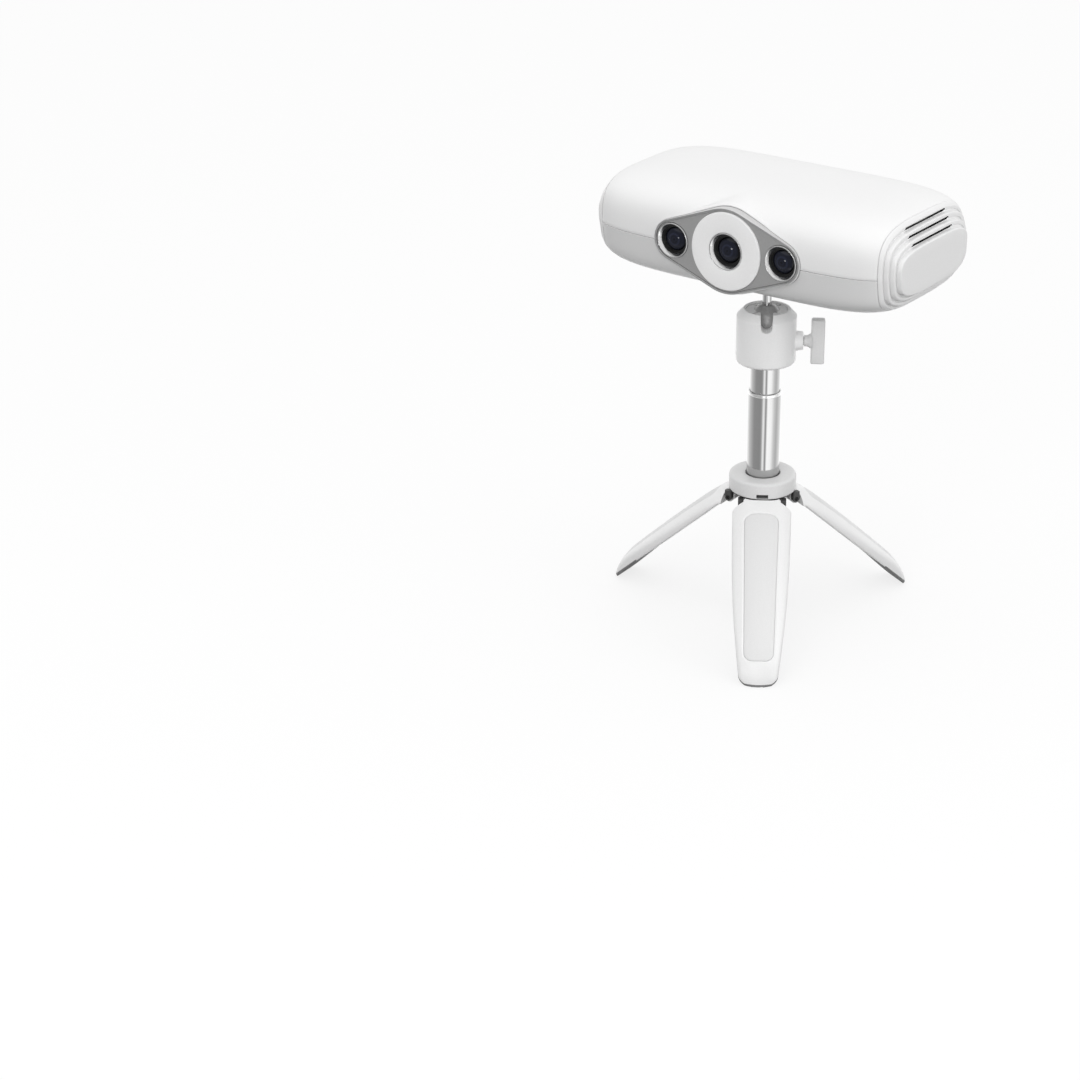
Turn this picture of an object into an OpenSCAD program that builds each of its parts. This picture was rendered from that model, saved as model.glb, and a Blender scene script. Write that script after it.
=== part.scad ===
// Three-d scanner: a rounded scanner head with three lenses and a ring light, on a mini tripod
// with a ball head, a telescopic column and three folding legs.
// The origin is on the floor under the column, +Z is up, and the lenses look along -Y.

/* [Head] */
// Length of the head, end plate to end plate
head_l = 155; // [130:1:180]
// Depth of the head's shell, front to back
head_d = 85; // [75:1:100]
// Height of the head
head_h = 46; // [42:1:56]
// How far the head's middle sits behind the column
head_back = 8.5; // [4:0.5:12]
// How square the head's plan is, from 2 for an ellipse
plan_power = 5.2; // [4:0.1:7]
// How square the head's cross-section is, from 2 for an ellipse
section_power = 3.5; // [2.8:0.1:4.5]
// Wall of the two shells
shell_wall = 2.2; // [1.6:0.1:3]
// How far the parting line lies below the lens axis
part_drop = 1.5; // [0:0.5:4]

/* [End caps] */
// How far an end cap stands out of the shells
cap_rise = 7.5; // [5:0.5:10]
// Step of each tier towards the end plate
tier_step = 2.35; // [1.9:0.05:2.6]
// Wall of an end cap
cap_wall = 1.6; // [1.2:0.1:2]
// Depth of the skirt that plugs into the shells
skirt_depth = 4; // [2:0.5:6]
// Length of a vent slot
slot_l = 34; // [20:1:44]
// Height of a vent slot
slot_h = 1.3; // [0.8:0.1:1.6]

/* [Faceplate] */
// Distance from the centre lens to a side lens
lens_gap = 27.45; // [26:0.05:32]
// Radius of the faceplate's rim round the centre lens
rim_mid_r = 19.1; // [18.5:0.1:19.4]
// Radius of the rim round a side lens
rim_side_r = 9.45; // [9.2:0.05:10.5]
// Width of the bright rim
rim_w = 0.95; // [0.8:0.05:1.2]
// How far the rim stands in front of the shell
rim_proud = 0.9; // [0.5:0.1:2]
// Depth of the rim, front to back
rim_depth = 9.9; // [9:0.1:12]
// How far the grey plate lies behind the rim's front
plate_sink = 0.5; // [0.2:0.1:1]
// Thickness of the grey plate
plate_t = 6.5; // [6:0.1:8]

/* [Ring light] */
// Outer radius of the white ring
ring_r = 17.4; // [16.5:0.1:17.5]
// Thickness of the ring's front
ring_t = 1.8; // [1:0.1:2.2]
// Wall of the ring's skirts
ring_skirt = 1; // [0.8:0.1:1.5]
// Depth of the pocket that the ring light lies in
ring_pocket = 4.5; // [4:0.1:5]
// Thickness of the ring's circuit board
ring_board_t = 1; // [0.8:0.1:1.2]
// Number of light-emitting diodes
led_n = 12; // [6:1:16]
// Side of a light-emitting diode
led_w = 2.8; // [2:0.1:3]
// Height of a light-emitting diode
led_t = 0.8; // [0.4:0.1:1]

/* [Lenses] */
// Outer radius of the centre bezel
mid_bezel_r = 8.25; // [7.9:0.05:8.6]
// Outer radius of a side bezel
side_bezel_r = 7.8; // [7.6:0.05:8]
// Wall of a bezel
bezel_wall = 1.4; // [1:0.1:1.5]
// How far a bezel stands in front of the rim
bezel_proud = 0.2; // [0:0.1:0.6]
// How far a barrel's mouth lies behind its bezel's front
barrel_sink = 1.9; // [1:0.1:3]
// Wall of a barrel round its glass
barrel_wall = 1; // [0.8:0.1:1.4]
// Depth of the cone in a barrel's mouth
cone_depth = 1.2; // [0.8:0.1:2]
// Thickness of a lens glass at its edge
glass_t = 1.6; // [1:0.1:2]
// How far a lens glass bulges
glass_bulge = 1.6; // [0.8:0.1:2]

/* [Inside the head] */
// Thickness of the optical bench
bench_t = 3.4; // [2.5:0.1:4]
// Side of a camera body
camera_w = 16; // [14:0.5:17]
// Depth of a camera body
camera_d = 13; // [10:0.5:15]
// Side of a camera board
camera_board_w = 20; // [18:0.5:21]
// Thickness of the circuit boards
board_t = 1.6; // [1:0.1:2]
// Width of the light engine
engine_w = 22; // [18:0.5:22.5]
// Height of the light engine
engine_h = 20; // [16:0.5:21]
// Depth of the light engine
engine_d = 22; // [18:0.5:23]
// Width of the main board
board_w = 100; // [80:1:104]
// Depth of the main board
board_d = 40; // [36:0.5:41]
// How far the main board's top lies below the parting line
board_drop = 5.7; // [5.5:0.1:7]
// Side of the thermal pad
pad_w = 28; // [20:1:30]
// Thickness of the thermal pad
pad_t = 1; // [0.5:0.1:1.5]
// Width of the heat sink
sink_w = 36; // [30:1:40]
// Depth of the heat sink
sink_d = 26; // [20:1:28]
// Height of the heat sink
sink_h = 10; // [6:0.5:12]
// Number of fins on the heat sink
fin_n = 9; // [5:1:11]
// Thickness of a fin
fin_t = 1.4; // [1:0.1:1.6]
// Width of a flat cable
ribbon_w = 8; // [5:0.5:10]
// Thickness of a flat cable
ribbon_t = 0.3; // [0.2:0.05:0.5]
// Width of the USB socket's shell
usb_w = 9.4; // [8.9:0.1:10]
// Height of the USB socket's shell
usb_h = 3.6; // [3.2:0.1:4]
// Depth of the USB socket's shell
usb_d = 9; // [7:0.5:10]
// How far the USB socket lies left of the middle
usb_x = 14; // [10:1:20]
// Radius of the power jack's bore
jack_r = 2.9; // [2.8:0.05:3.2]
// Radius of the power jack's centre pin
jack_pin_r = 1; // [0.9:0.05:1.25]
// Side of the power jack's body
jack_w = 9; // [8:0.5:10]
// How far the power jack lies right of the middle
jack_x = 14; // [10:1:20]

/* [Screws] */
// Distance of the shell screws from the middle, along the head
shell_screw_x = 58; // [56:0.5:60]
// Distance of the shell screws from the middle, front to back
shell_screw_y = 20; // [16:0.5:22]
// How far the heads of the shell screws lie below the parting line
shell_screw_drop = 11; // [9:0.5:12]
// How far the shell screws reach above the parting line
shell_screw_reach = 8; // [6:0.5:9]
// Shank radius of the shell screws
shell_screw_r = 1.25; // [1:0.05:1.5]
// Head radius of the shell screws
shell_head_r = 2.4; // [2.2:0.1:2.8]
// Radius of the screw bosses
boss_r = 4; // [3.6:0.1:4.5]
// Shank radius of the small screws
small_screw_r = 1; // [0.8:0.05:1.2]
// Head radius of the small screws
small_head_r = 1.9; // [1.6:0.1:2]
// Head height of the small screws
small_head_t = 1.4; // [1:0.1:1.8]
// Length of the small screws under the head
small_screw_l = 5; // [4.5:0.1:5.5]

/* [Ball head] */
// Radius of the ball
ball_r = 7; // [6.5:0.1:7.3]
// Height of the ball's middle over the bottom of its housing
ball_rise = 20.05; // [19.5:0.05:21]
// Radius of the ball housing
housing_r = 13.45; // [13:0.05:14]
// How far the housing's top lies above the ball's middle
housing_top = 4.9; // [4.5:0.1:5.2]
// Radius of the housing's mouth
mouth_r = 9.4; // [9.2:0.1:10]
// Drop of the housing's sloping shoulder
shoulder = 3.2; // [2:0.1:4]
// Width of the U notch at its mouth
notch_top_w = 5.8; // [5.4:0.1:7]
// Width of the U notch at its round bottom
notch_w = 4.9; // [4.8:0.1:5.2]
// Radius of the stud's neck
neck_r = 2.15; // [1.8:0.05:2.2]
// Distance from the ball's middle to the head
stud_reach = 17.6; // [16.5:0.1:22]
// Radius of the stud's flange
flange_r = 5.5; // [5:0.1:7]
// Thickness of the stud's flange
flange_t = 2; // [1.5:0.1:2.5]
// Radius of the tripod thread
thread_r = 3.175; // [3.1:0.025:3.3]
// Length of the tripod thread
thread_l = 6.5; // [5:0.5:8]
// Wall of the threaded insert in the head
insert_wall = 1.5; // [1:0.1:2]
// Number of slits in the ball seat
slit_n = 4; // [3:1:6]
// Width of a slit in the ball seat
slit_w = 1; // [0.6:0.1:1.4]

/* [Clamp knob] */
// How far the clamp screw runs below the ball's middle
clamp_drop = 10.2; // [9.8:0.1:11]
// Radius of the clamp screw
clamp_r = 2; // [1.8:0.1:2.2]
// How far the boss stands out of the housing
clamp_boss_l = 3; // [2:0.1:4]
// Radius of the boss at the housing
clamp_boss_r = 4.9; // [4.5:0.1:5.2]
// Length of the knob's neck
knob_neck_l = 3.1; // [2:0.1:4]
// Height of the knob's bar
knob_bar_h = 20.6; // [16:0.2:24]
// Thickness of the knob's bar, away from the housing
knob_bar_t = 6.1; // [4:0.1:7]
// Width of the knob's bar
knob_bar_w = 5; // [4.8:0.1:7]

/* [Column] */
// Radius of the upper tube
upper_r = 6.7; // [6.5:0.05:6.8]
// Radius of the lower tube
lower_r = 7.45; // [7.4:0.05:7.8]
// Wall of both tubes
tube_wall = 0.6; // [0.5:0.05:0.65]
// How far the lower tube stands out of the collar
lower_out = 40.1; // [38:0.5:50]
// How far the upper tube stands out of the lower tube
upper_out = 13.85; // [13:0.5:20]
// Length of the lower tube
lower_l = 58; // [54:1:70]
// Length of the upper tube
upper_l = 54.5; // [50:0.5:58]
// Length of the friction bushes
bush_l = 6; // [4:0.5:8]
// Height of the lip ring on the lower tube
lip_h = 1.5; // [1:0.1:2.5]
// Wall of the outer sleeve
sleeve_wall = 0.6; // [0.5:0.05:1]
// Height of the sleeve's bottom over the floor
sleeve_floor = 10; // [6:0.5:12]

/* [Hub and legs] */
// Turn of the stand against the head, in degrees
stand_turn = 32; // [29:0.5:33]
// Height of the leg hinges over the floor
hinge_z = 58.6; // [54:0.2:64]
// Distance of the leg hinges from the column
hinge_r = 11.8; // [11.6:0.1:12.2]
// Spread of an open leg from upright, in degrees
spread = 47.8; // [44:0.2:50]
// Radius of the collar
collar_r = 15.3; // [14.8:0.05:16]
// Height of the collar
collar_h = 7.7; // [6:0.1:9]
// How far the collar's underside lies above the hinges
collar_lift = 4.1; // [4:0.1:5]
// Rounding of the collar's edges
collar_round = 1.2; // [0.6:0.1:1.6]
// Largest radius of the three folded legs as a grip
grip_r = 19.5; // [19:0.1:20]
// Width of a leg at the hinge
leg_top_w = 26.6; // [24:0.2:28]
// Width of a leg at its middle
leg_mid_w = 25; // [22:0.2:26]
// Width of a leg at the foot
leg_foot_w = 17.9; // [16:0.1:20]
// Radius of the hinge pins
pin_r = 1; // [0.8:0.05:1.1]
// Width of a leg's neck between the hinge lugs
neck_w = 16.8; // [15:0.2:18]
// Thickness of a hinge lug on the yoke
lug_t = 2.2; // [1.6:0.1:2.4]
// Width of an inlay panel at its top
inlay_top_w = 15.2; // [13:0.1:16]
// Width of an inlay panel at its foot
inlay_foot_w = 13.1; // [11:0.1:14]
// Thickness of an inlay panel
inlay_t = 0.8; // [0.6:0.1:1]
// How far an inlay panel lies below the leg's face
inlay_sink = 0.25; // [0.1:0.05:0.4]
// Height of a foot pad at the leg's tip
foot_t = 1.2; // [1:0.1:2]
// Length of a foot pad along the leg
foot_l = 20; // [16:0.5:24]
// How far a foot pad stands out below its leg at the tip
foot_proud = 0.9; // [0.5:0.1:1.5]
// How deep a foot pad is let into its leg
foot_in = 0.6; // [0.4:0.1:1]

/* [Fits] */
// Radial clearance of sliding and turning fits
run_fit = 0.08; // [0.05:0.01:0.1]
// Gap between pieces that are fixed to each other
seat_fit = 0.1; // [0.05:0.01:0.15]
// Gap between moving pieces that don't guide each other
free_gap = 0.3; // [0.2:0.05:0.4]

/* [Hidden] */
$fn = 64;

// Overlap that lets a cut pass through the face it starts from
past = 0.5;
// Heights of the column, from the floor up
collar_z = hinge_z + collar_lift;
lower_z = collar_z + collar_h + lower_out;
housing_z = lower_z + upper_out;
ball_z = housing_z + ball_rise;
head_z = ball_z + stud_reach + head_h / 2;
// The head's form, measured from its middle
seam_x = head_l / 2 - cap_rise;
part_z = -part_drop;
loft_rings = 16;
loft_sides = 48;
stud_y = -head_back;
// The faceplate's layers, from the front to the back
rim_y = -head_d / 2 - rim_proud;
rim_back_y = rim_y + rim_depth;
plate_y = rim_y + plate_sink;
bench_y = plate_y + plate_t;
camera_y = bench_y + bench_t;
bezel_y = rim_y - bezel_proud;
barrel_y = bezel_y + barrel_sink;
pocket_y = plate_y + ring_pocket;
// The inner radius of a bezel, and of the ring light round the centre bezel
mid_barrel_r = mid_bezel_r - bezel_wall - seat_fit;
side_barrel_r = side_bezel_r - bezel_wall - seat_fit;
ring_in_r = mid_bezel_r + seat_fit;
bench_screw_x = (engine_w / 2 + lens_gap - camera_w / 2) / 2;
bench_screw_z = 9;
// The main board's place
board_top_z = part_z - board_drop;
board_overlap = 2;
board_y0 = stud_y + insert_r() - board_overlap;
board_screw_x = board_w / 2 - 5;
board_edge = 4;
board_screw_y = [board_y0 + board_edge, board_y0 + board_d - board_edge];
post_r = 2.6;
// The leg's frame when it is folded: upright, with the hinge at height 0
floor_l = hinge_z / cos(spread);
leg_l = floor_l + 4;
sleeve_r = lower_r + run_fit * 2 + sleeve_wall;
yoke_r = sleeve_r + seat_fit + 1;
ear_r = 2.2;
// The grip's radius along a folded leg, as shares of the leg's length and of the largest radius
grip_top_share = 0.88;
grip_shares = [[0.15, 0.985], [0.33, 1], [0.55, 0.995], [0.77, 0.97], [0.88, 0.862], [0.925, 0.77],
    [0.965, 0.64], [1, 0.52]];
// Shares of a leg's length: where its middle is, and the length of an inlay panel
mid_share = 0.49;
inlay_share = 0.772;

function insert_r() = thread_r + run_fit + insert_wall;
// Shares of the head's full size at a place along its length
function plan_share(x) = pow(1 - pow(abs(x) / (head_l / 2), plan_power), 1 / plan_power);
function half_d(x) = head_d / 2 * plan_share(x);
function half_h(x) = head_h / 2 * plan_share(x);
function signed_pow(v, e) = sign(v) * pow(abs(v), e);
// Outline of a cross-section, as points of depth and height
function section(hd, hh) = [for (i = [0 : loft_sides - 1])
    let (t = 360 * (i + 0.5) / loft_sides)
    [hd * signed_pow(cos(t), 2 / section_power), hh * signed_pow(sin(t), 2 / section_power)]];
// Half height of the form at a place along its length and depth
function under_z(x, y) = half_h(x) * pow(1 - pow(abs(y) / half_d(x), section_power), 1 / section_power);
// Places of the loft's rings, closer together towards the ends
function ring_x(i, reach) = reach * sin(90 * (2 * i / loft_rings - 1));

module in_head() { translate([0, head_back, head_z]) children(); }
module in_stand() { rotate([0, 0, stand_turn]) children(); }
// Turns an outline to look forward, so that it is extruded towards the front from a depth
module facing(y) { translate([0, y, 0]) rotate([90, 0, 0]) children(); }
// Turns an outline to look along the head, so that it is extruded towards the right end
module along_x(x) { translate([x, 0, 0]) rotate([90, 0, 90]) children(); }
// Turns an upright shape so that it runs out along the clamp screw
module along_clamp(x) { translate([x, 0, ball_z - clamp_drop]) rotate([0, 90, 0]) children(); }
module each_side(x) { for (s = [-1, 1]) translate([s * x, 0, 0]) children(); }
module each_corner(x, y) { for (sx = [-1, 1], sy = [-1, 1]) translate([sx * x, sy * y, 0]) children(); }

// A half of a cross-section, above or below the parting line, as points of depth and height
function half_section(hd, hh, up) =
    let (start = asin(signed_pow(part_z / hh, section_power / 2)))
    let (first = up ? start : 180 - start, sweep = up ? 180 - 2 * start : 180 + 2 * start)
    [for (i = [0 : loft_sides / 2])
        let (t = first + sweep * i / (loft_sides / 2))
        [hd * signed_pow(cos(t), 2 / section_power), hh * signed_pow(sin(t), 2 / section_power)]];

// A hollow half of the body between the end caps: at each ring the outer skin, then the inner skin back
module half_shell(up) {
    rings = [for (i = [0 : loft_rings])
        let (x = ring_x(i, seam_x), hd = half_d(x), hh = half_h(x))
        let (outer = half_section(hd, hh, up))
        let (inner = half_section(hd - shell_wall, hh - shell_wall, up))
        let (n = len(inner))
        concat([for (p = outer) [x, p[0], p[1]]],
            [for (i = [1 : n]) [x, inner[n - i][0], inner[n - i][1]]])];
    count = len(rings[0]);
    points = [for (ring = rings) for (p = ring) p];
    walls = [for (i = [0 : loft_rings - 1], j = [0 : count - 1])
        let (k = (j + 1) % count, a = i * count, b = a + count)
        for (face = [[a + j, b + j, b + k], [a + j, b + k, a + k]]) face];
    last = loft_rings * count;
    ends = [for (j = [0 : count / 2 - 2])
        let (k = count - 1 - j)
        for (face = [[j, j + 1, k - 1], [j, k - 1, k], [last + j, last + k - 1, last + j + 1],
            [last + j, last + k, last + k - 1]]) face];
    polyhedron(points, concat(walls, ends));
}

// The faceplate's outline: three circles and the lines between them, which run a hair inside the circles
module plate_outline(grow) {
    hair = 0.02;
    mid = rim_mid_r + grow - hair;
    side = rim_side_r + grow - hair;
    tilt = acos((rim_mid_r - rim_side_r) / lens_gap);
    circle(mid + hair);
    each_side(lens_gap) circle(side + hair);
    polygon([for (q = [0 : 3])
        let (sx = q == 0 || q == 3 ? 1 : -1, sy = q < 2 ? 1 : -1)
        for (m = q % 2 == 0 ? [1, 0] : [0, 1])
            m == 1 ? [sx * (lens_gap + side * cos(tilt)), sy * side * sin(tilt)]
                : [sx * mid * cos(tilt), sy * mid * sin(tilt)]]);
}

module face_opening() {
    facing(camera_y + seat_fit) linear_extrude(rim_depth + head_d) plate_outline(seat_fit);
}

// The holes for the sockets in the back wall
module socket_holes() {
    translate([-usb_x, head_d / 2 - shell_wall * 2, board_top_z + usb_h / 2])
        cube([usb_w + 2 * seat_fit, shell_wall * 6, usb_h + 2 * seat_fit], center = true);
    translate([jack_x, head_d / 2 + shell_wall, part_z]) rotate([90, 0, 0])
        cylinder(r = jack_r + jack_lip, h = shell_wall * 4);
}

// A round post or hole from one height to another
module screw_column(r, z0, z1) { translate([0, 0, z0]) cylinder(r = r, h = z1 - z0); }

// Reach of a boss into the wall of its shell
boss_end_z = under_z(shell_screw_x + boss_r, shell_screw_y + boss_r) - shell_wall / 2;
screw_seat_z = part_z - shell_screw_drop;
screw_top_z = part_z + shell_screw_reach;
insert_h = thread_l + 2;
insert_z = -head_h / 2 + seat_fit;
insert_boss_wall = 2.5;
jack_lip = 1;
// Reach of a board post down into the wall
function post_end_z(y) = under_z(board_screw_x + post_r, abs(y) + post_r) - shell_wall / 2;

module board_screw_places() {
    for (sx = [-1, 1], y = board_screw_y) translate([sx * board_screw_x, y, 0]) children();
}

module board_posts() {
    for (sx = [-1, 1], y = board_screw_y)
        translate([sx * board_screw_x, y, 0]) screw_column(post_r, -post_end_z(y), board_top_z - board_t);
}

module upper_shell() {
    color("white") in_head() difference() {
        union() {
            half_shell(true);
            each_corner(shell_screw_x, shell_screw_y) screw_column(boss_r, part_z, boss_end_z);
        }
        face_opening();
        socket_holes();
        each_corner(shell_screw_x, shell_screw_y)
            screw_column(shell_screw_r + seat_fit, part_z - past, screw_top_z + past);
    }
}

module lower_shell() {
    color("whitesmoke") in_head() difference() {
        union() {
            half_shell(false);
            each_corner(shell_screw_x, shell_screw_y) screw_column(boss_r, -boss_end_z, part_z);
            translate([0, stud_y, 0])
                screw_column(insert_r() + insert_boss_wall, shell_wall / 2 - head_h / 2, insert_z + insert_h);
            board_posts();
        }
        face_opening();
        socket_holes();
        each_corner(shell_screw_x, shell_screw_y) {
            screw_column(shell_screw_r + seat_fit, screw_seat_z - past, part_z + past);
            screw_column(shell_head_r + seat_fit, -head_h, screw_seat_z);
        }
        translate([0, stud_y, 0]) screw_column(insert_r() + seat_fit, -head_h, insert_z + insert_h + past);
        board_screw_places()
            screw_column(small_screw_r + seat_fit, board_top_z - small_screw_l - past, board_top_z);
    }
}

// Half sizes of an end cap's tiers and of the skirt inside the shells
function tier_half(k) =
    let (inset = seat_fit + k * tier_step)
    [half_d(seam_x) - inset, half_h(seam_x) - inset];
skirt_half = [half_d(seam_x) - shell_wall - seat_fit, half_h(seam_x) - shell_wall - seat_fit];
tier_n = 4;
seam_gap = 0.05;

module tier_block(half, x0, x1) { along_x(x0) linear_extrude(x1 - x0) polygon(section(half[0], half[1])); }
function tier_x(k) = seam_x + cap_rise * (k + 1) / tier_n;

module end_cap() {
    inner = [cap_wall, cap_wall];
    difference() {
        union() {
            tier_block(skirt_half, seam_x - skirt_depth, seam_x + cap_wall / 2);
            for (k = [0 : tier_n - 1])
                tier_block(tier_half(k), k == 0 ? seam_x + seam_gap : tier_x(k) - cap_rise / 2, tier_x(k));
        }
        tier_block(skirt_half - inner, seam_x - skirt_depth - past, tier_x(0) - cap_wall);
        for (k = [1 : tier_n - 1])
            tier_block(tier_half(k) - inner, seam_x - skirt_depth, tier_x(k) - cap_wall);
        for (k = [1 : tier_n - 1])
            translate([seam_x - past, -slot_l / 2, tier_half(k)[1] + seam_gap * 2])
                cube([cap_rise + past, slot_l, slot_h]);
    }
}

module right_end_cap() { color("white") in_head() end_cap(); }
module left_end_cap() { color("white") in_head() mirror([1, 0, 0]) end_cap(); }

module faceplate_rim() {
    color("lightgray") in_head() facing(rim_back_y) difference() {
        linear_extrude(rim_depth) plate_outline(0);
        translate([0, 0, -past]) linear_extrude(rim_depth + 2 * past) plate_outline(-rim_w);
    }
}

module faceplate() {
    color("darkgray") in_head() facing(bench_y) difference() {
        linear_extrude(plate_t) plate_outline(-rim_w - seat_fit);
        translate([0, 0, plate_t - ring_pocket]) cylinder(r = ring_r + seat_fit, h = plate_t);
        translate([0, 0, -past]) cylinder(r = mid_bezel_r + seat_fit, h = plate_t);
        each_side(lens_gap) translate([0, 0, -past]) cylinder(r = side_bezel_r + seat_fit, h = plate_t * 2);
        bench_screw_holes(small_screw_l - bench_t + free_gap);
    }
}

module bench_screw_holes(depth) {
    each_corner(bench_screw_x, bench_screw_z) translate([0, 0, -past])
        cylinder(r = small_screw_r + seat_fit, h = depth + past);
}

// A ring round the centre lens, from one depth to another
module lens_ring(r_out, r_in, y_front, y_back) {
    facing(y_back) difference() {
        cylinder(r = r_out, h = y_back - y_front);
        translate([0, 0, -past]) cylinder(r = r_in, h = y_back - y_front + 2 * past);
    }
}

module ring_diffuser() {
    front_y = rim_y - bezel_proud / 2;
    board_front_y = pocket_y - ring_board_t;
    color("white") in_head() difference() {
        lens_ring(ring_r, ring_in_r, front_y, board_front_y);
        lens_ring(ring_r - ring_skirt, ring_in_r + ring_skirt, front_y + ring_t, board_front_y + past);
    }
}

module ring_board() {
    color("darkgreen") in_head()
        lens_ring(ring_r - seat_fit, ring_in_r + seat_fit, pocket_y - ring_board_t, pocket_y);
}

module ring_leds() {
    r_mid = (ring_r + ring_in_r) / 2;
    color("lightyellow") in_head() facing(pocket_y - ring_board_t) for (i = [0 : led_n - 1])
        rotate([0, 0, 360 * i / led_n]) translate([r_mid, 0, led_t / 2])
            cube([led_w, led_w, led_t], center = true);
}

module bezel(x, r) {
    color("silver") in_head() translate([x, 0, 0]) lens_ring(r, r - bezel_wall, bezel_y, bench_y);
}

module centre_bezel() { bezel(0, mid_bezel_r); }
module left_bezel() { bezel(-lens_gap, side_bezel_r); }
module right_bezel() { bezel(lens_gap, side_bezel_r); }

// Where a lens glass sits in its barrel
glass_y = barrel_y + cone_depth;

// A black tube with a cone in its mouth, and a body behind the bench if it has one
module barrel(x, r, body_w) {
    bore = r - barrel_wall;
    mouth_edge = 0.5;
    behind_glass = 1;
    length = camera_y - barrel_y;
    color("dimgray") in_head() translate([x, 0, 0]) difference() {
        union() {
            facing(camera_y) cylinder(r = r, h = length);
            if (body_w > 0) translate([-body_w / 2, camera_y, -body_w / 2]) cube([body_w, camera_d, body_w]);
        }
        facing(glass_y) cylinder(r1 = bore, r2 = r - mouth_edge, h = cone_depth + seam_gap);
        facing(glass_y + glass_t + behind_glass) cylinder(r = bore, h = glass_t + behind_glass + seam_gap);
    }
}

module centre_barrel() { barrel(0, mid_barrel_r, 0); }
module left_barrel() { barrel(-lens_gap, side_barrel_r, camera_w); }
module right_barrel() { barrel(lens_gap, side_barrel_r, camera_w); }

// A lens with a domed front
module glass(x, barrel_r) {
    r = barrel_r - barrel_wall - seat_fit;
    dome_r = (r * r + glass_bulge * glass_bulge) / (2 * glass_bulge);
    color("midnightblue") in_head() translate([x, 0, 0]) facing(glass_y + glass_t) intersection() {
        cylinder(r = r, h = glass_t + glass_bulge);
        translate([0, 0, glass_t + glass_bulge - dome_r]) sphere(dome_r);
    }
}

module centre_glass() { glass(0, mid_barrel_r); }
module left_glass() { glass(-lens_gap, side_barrel_r); }
module right_glass() { glass(lens_gap, side_barrel_r); }

module optical_bench() {
    color("silver") in_head() facing(camera_y) difference() {
        linear_extrude(bench_t) plate_outline(-rim_w - 2 * seat_fit);
        translate([0, 0, -past]) cylinder(r = mid_barrel_r + seat_fit, h = bench_t + 2 * past);
        each_side(lens_gap) translate([0, 0, -past])
            cylinder(r = side_barrel_r + seat_fit, h = bench_t + 2 * past);
        bench_screw_holes(bench_t + past);
    }
}

module camera_board(x) {
    color("darkgreen") in_head()
        translate([x - camera_board_w / 2, camera_y + camera_d, -camera_board_w / 2])
            cube([camera_board_w, board_t, camera_board_w]);
}

module left_camera_board() { camera_board(-lens_gap); }
module right_camera_board() { camera_board(lens_gap); }

module light_engine() {
    color("gray") in_head() translate([-engine_w / 2, camera_y, -engine_h / 2])
        cube([engine_w, engine_d, engine_h]);
}

module main_board() {
    color("darkgreen") in_head() difference() {
        translate([-board_w / 2, board_y0, board_top_z - board_t]) cube([board_w, board_d, board_t]);
        board_screw_places()
            screw_column(small_screw_r + seat_fit, board_top_z - board_t - past, board_top_z + past);
    }
}

// Middle of the heat sink, and how far it stands over the pad's edges
sink_y = board_y0 + board_d / 2 - 3;
pad_edge = 1;

module thermal_pad() {
    color("lightsteelblue") in_head() translate([-pad_w / 2, sink_y - sink_d / 2 + pad_edge, board_top_z])
        cube([pad_w, min(pad_w, sink_d - 2 * pad_edge), pad_t]);
}

module heat_sink() {
    base_t = sink_h / 4;
    fin_step = (sink_w - fin_t) / (fin_n - 1);
    color("silver") in_head() translate([-sink_w / 2, sink_y - sink_d / 2, board_top_z + pad_t]) {
        cube([sink_w, sink_d, base_t]);
        for (i = [0 : fin_n - 1]) translate([i * fin_step, 0, 0]) cube([fin_t, sink_d, sink_h]);
    }
}

module camera_ribbons() {
    start_y = camera_y + camera_d + board_t;
    on_board = 6;
    color("goldenrod") in_head() each_side(lens_gap) translate([-ribbon_w / 2, start_y, board_top_z])
        cube([ribbon_w, board_y0 + on_board - start_y, ribbon_t]);
}

// The sockets' mouths lie a little inside the back wall
socket_y = head_d / 2 - 1;

module usb_socket() {
    wall = 0.4;
    back_t = 1;
    tongue = [usb_w - 3, 0.8];
    color("silver") in_head() translate([-usb_x, socket_y, board_top_z + usb_h / 2]) rotate([90, 0, 0])
        difference() {
            linear_extrude(usb_d) square([usb_w, usb_h], center = true);
            translate([0, 0, -past]) linear_extrude(usb_d - back_t + past) difference() {
                square([usb_w - 2 * wall, usb_h - 2 * wall], center = true);
                square(tongue, center = true);
            }
        }
}

module power_jack() {
    body_d = 12;
    back_t = 2;
    nose_l = shell_wall * 2;
    color("black") in_head() translate([jack_x, socket_y, part_z]) rotate([90, 0, 0]) difference() {
        union() {
            cylinder(r = jack_r + jack_lip - seat_fit, h = nose_l + past);
            translate([-jack_w / 2, -board_drop, nose_l])
                cube([jack_w, board_drop + jack_w / 2, body_d - nose_l]);
        }
        translate([0, 0, -past]) difference() {
            cylinder(r = jack_r, h = body_d - back_t);
            cylinder(r = jack_pin_r, h = body_d);
        }
    }
}

module tripod_insert() {
    color("goldenrod") in_head() translate([0, stud_y, insert_z]) difference() {
        cylinder(r = insert_r(), h = insert_h);
        translate([0, 0, -past]) cylinder(r = thread_r + run_fit, h = insert_h + 2 * past);
    }
}

// A screw with its head at the bottom, pointing up
module screw(r, length, head_r, head_t) {
    difference() {
        union() {
            translate([0, 0, -head_t]) cylinder(r = head_r, h = head_t);
            cylinder(r = r, h = length);
        }
        translate([0, 0, -head_t - past]) cylinder(r = head_r / 2, h = head_t / 2 + past, $fn = 6);
    }
}

module shell_screws() {
    color("silver") in_head() each_corner(shell_screw_x, shell_screw_y) translate([0, 0, screw_seat_z])
        screw(shell_screw_r, screw_top_z - screw_seat_z, shell_head_r, shell_screw_r * 1.6);
}

module bench_screws() {
    color("silver") in_head() facing(camera_y) each_corner(bench_screw_x, bench_screw_z)
        screw(small_screw_r, small_screw_l, small_head_r, small_head_t);
}

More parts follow.
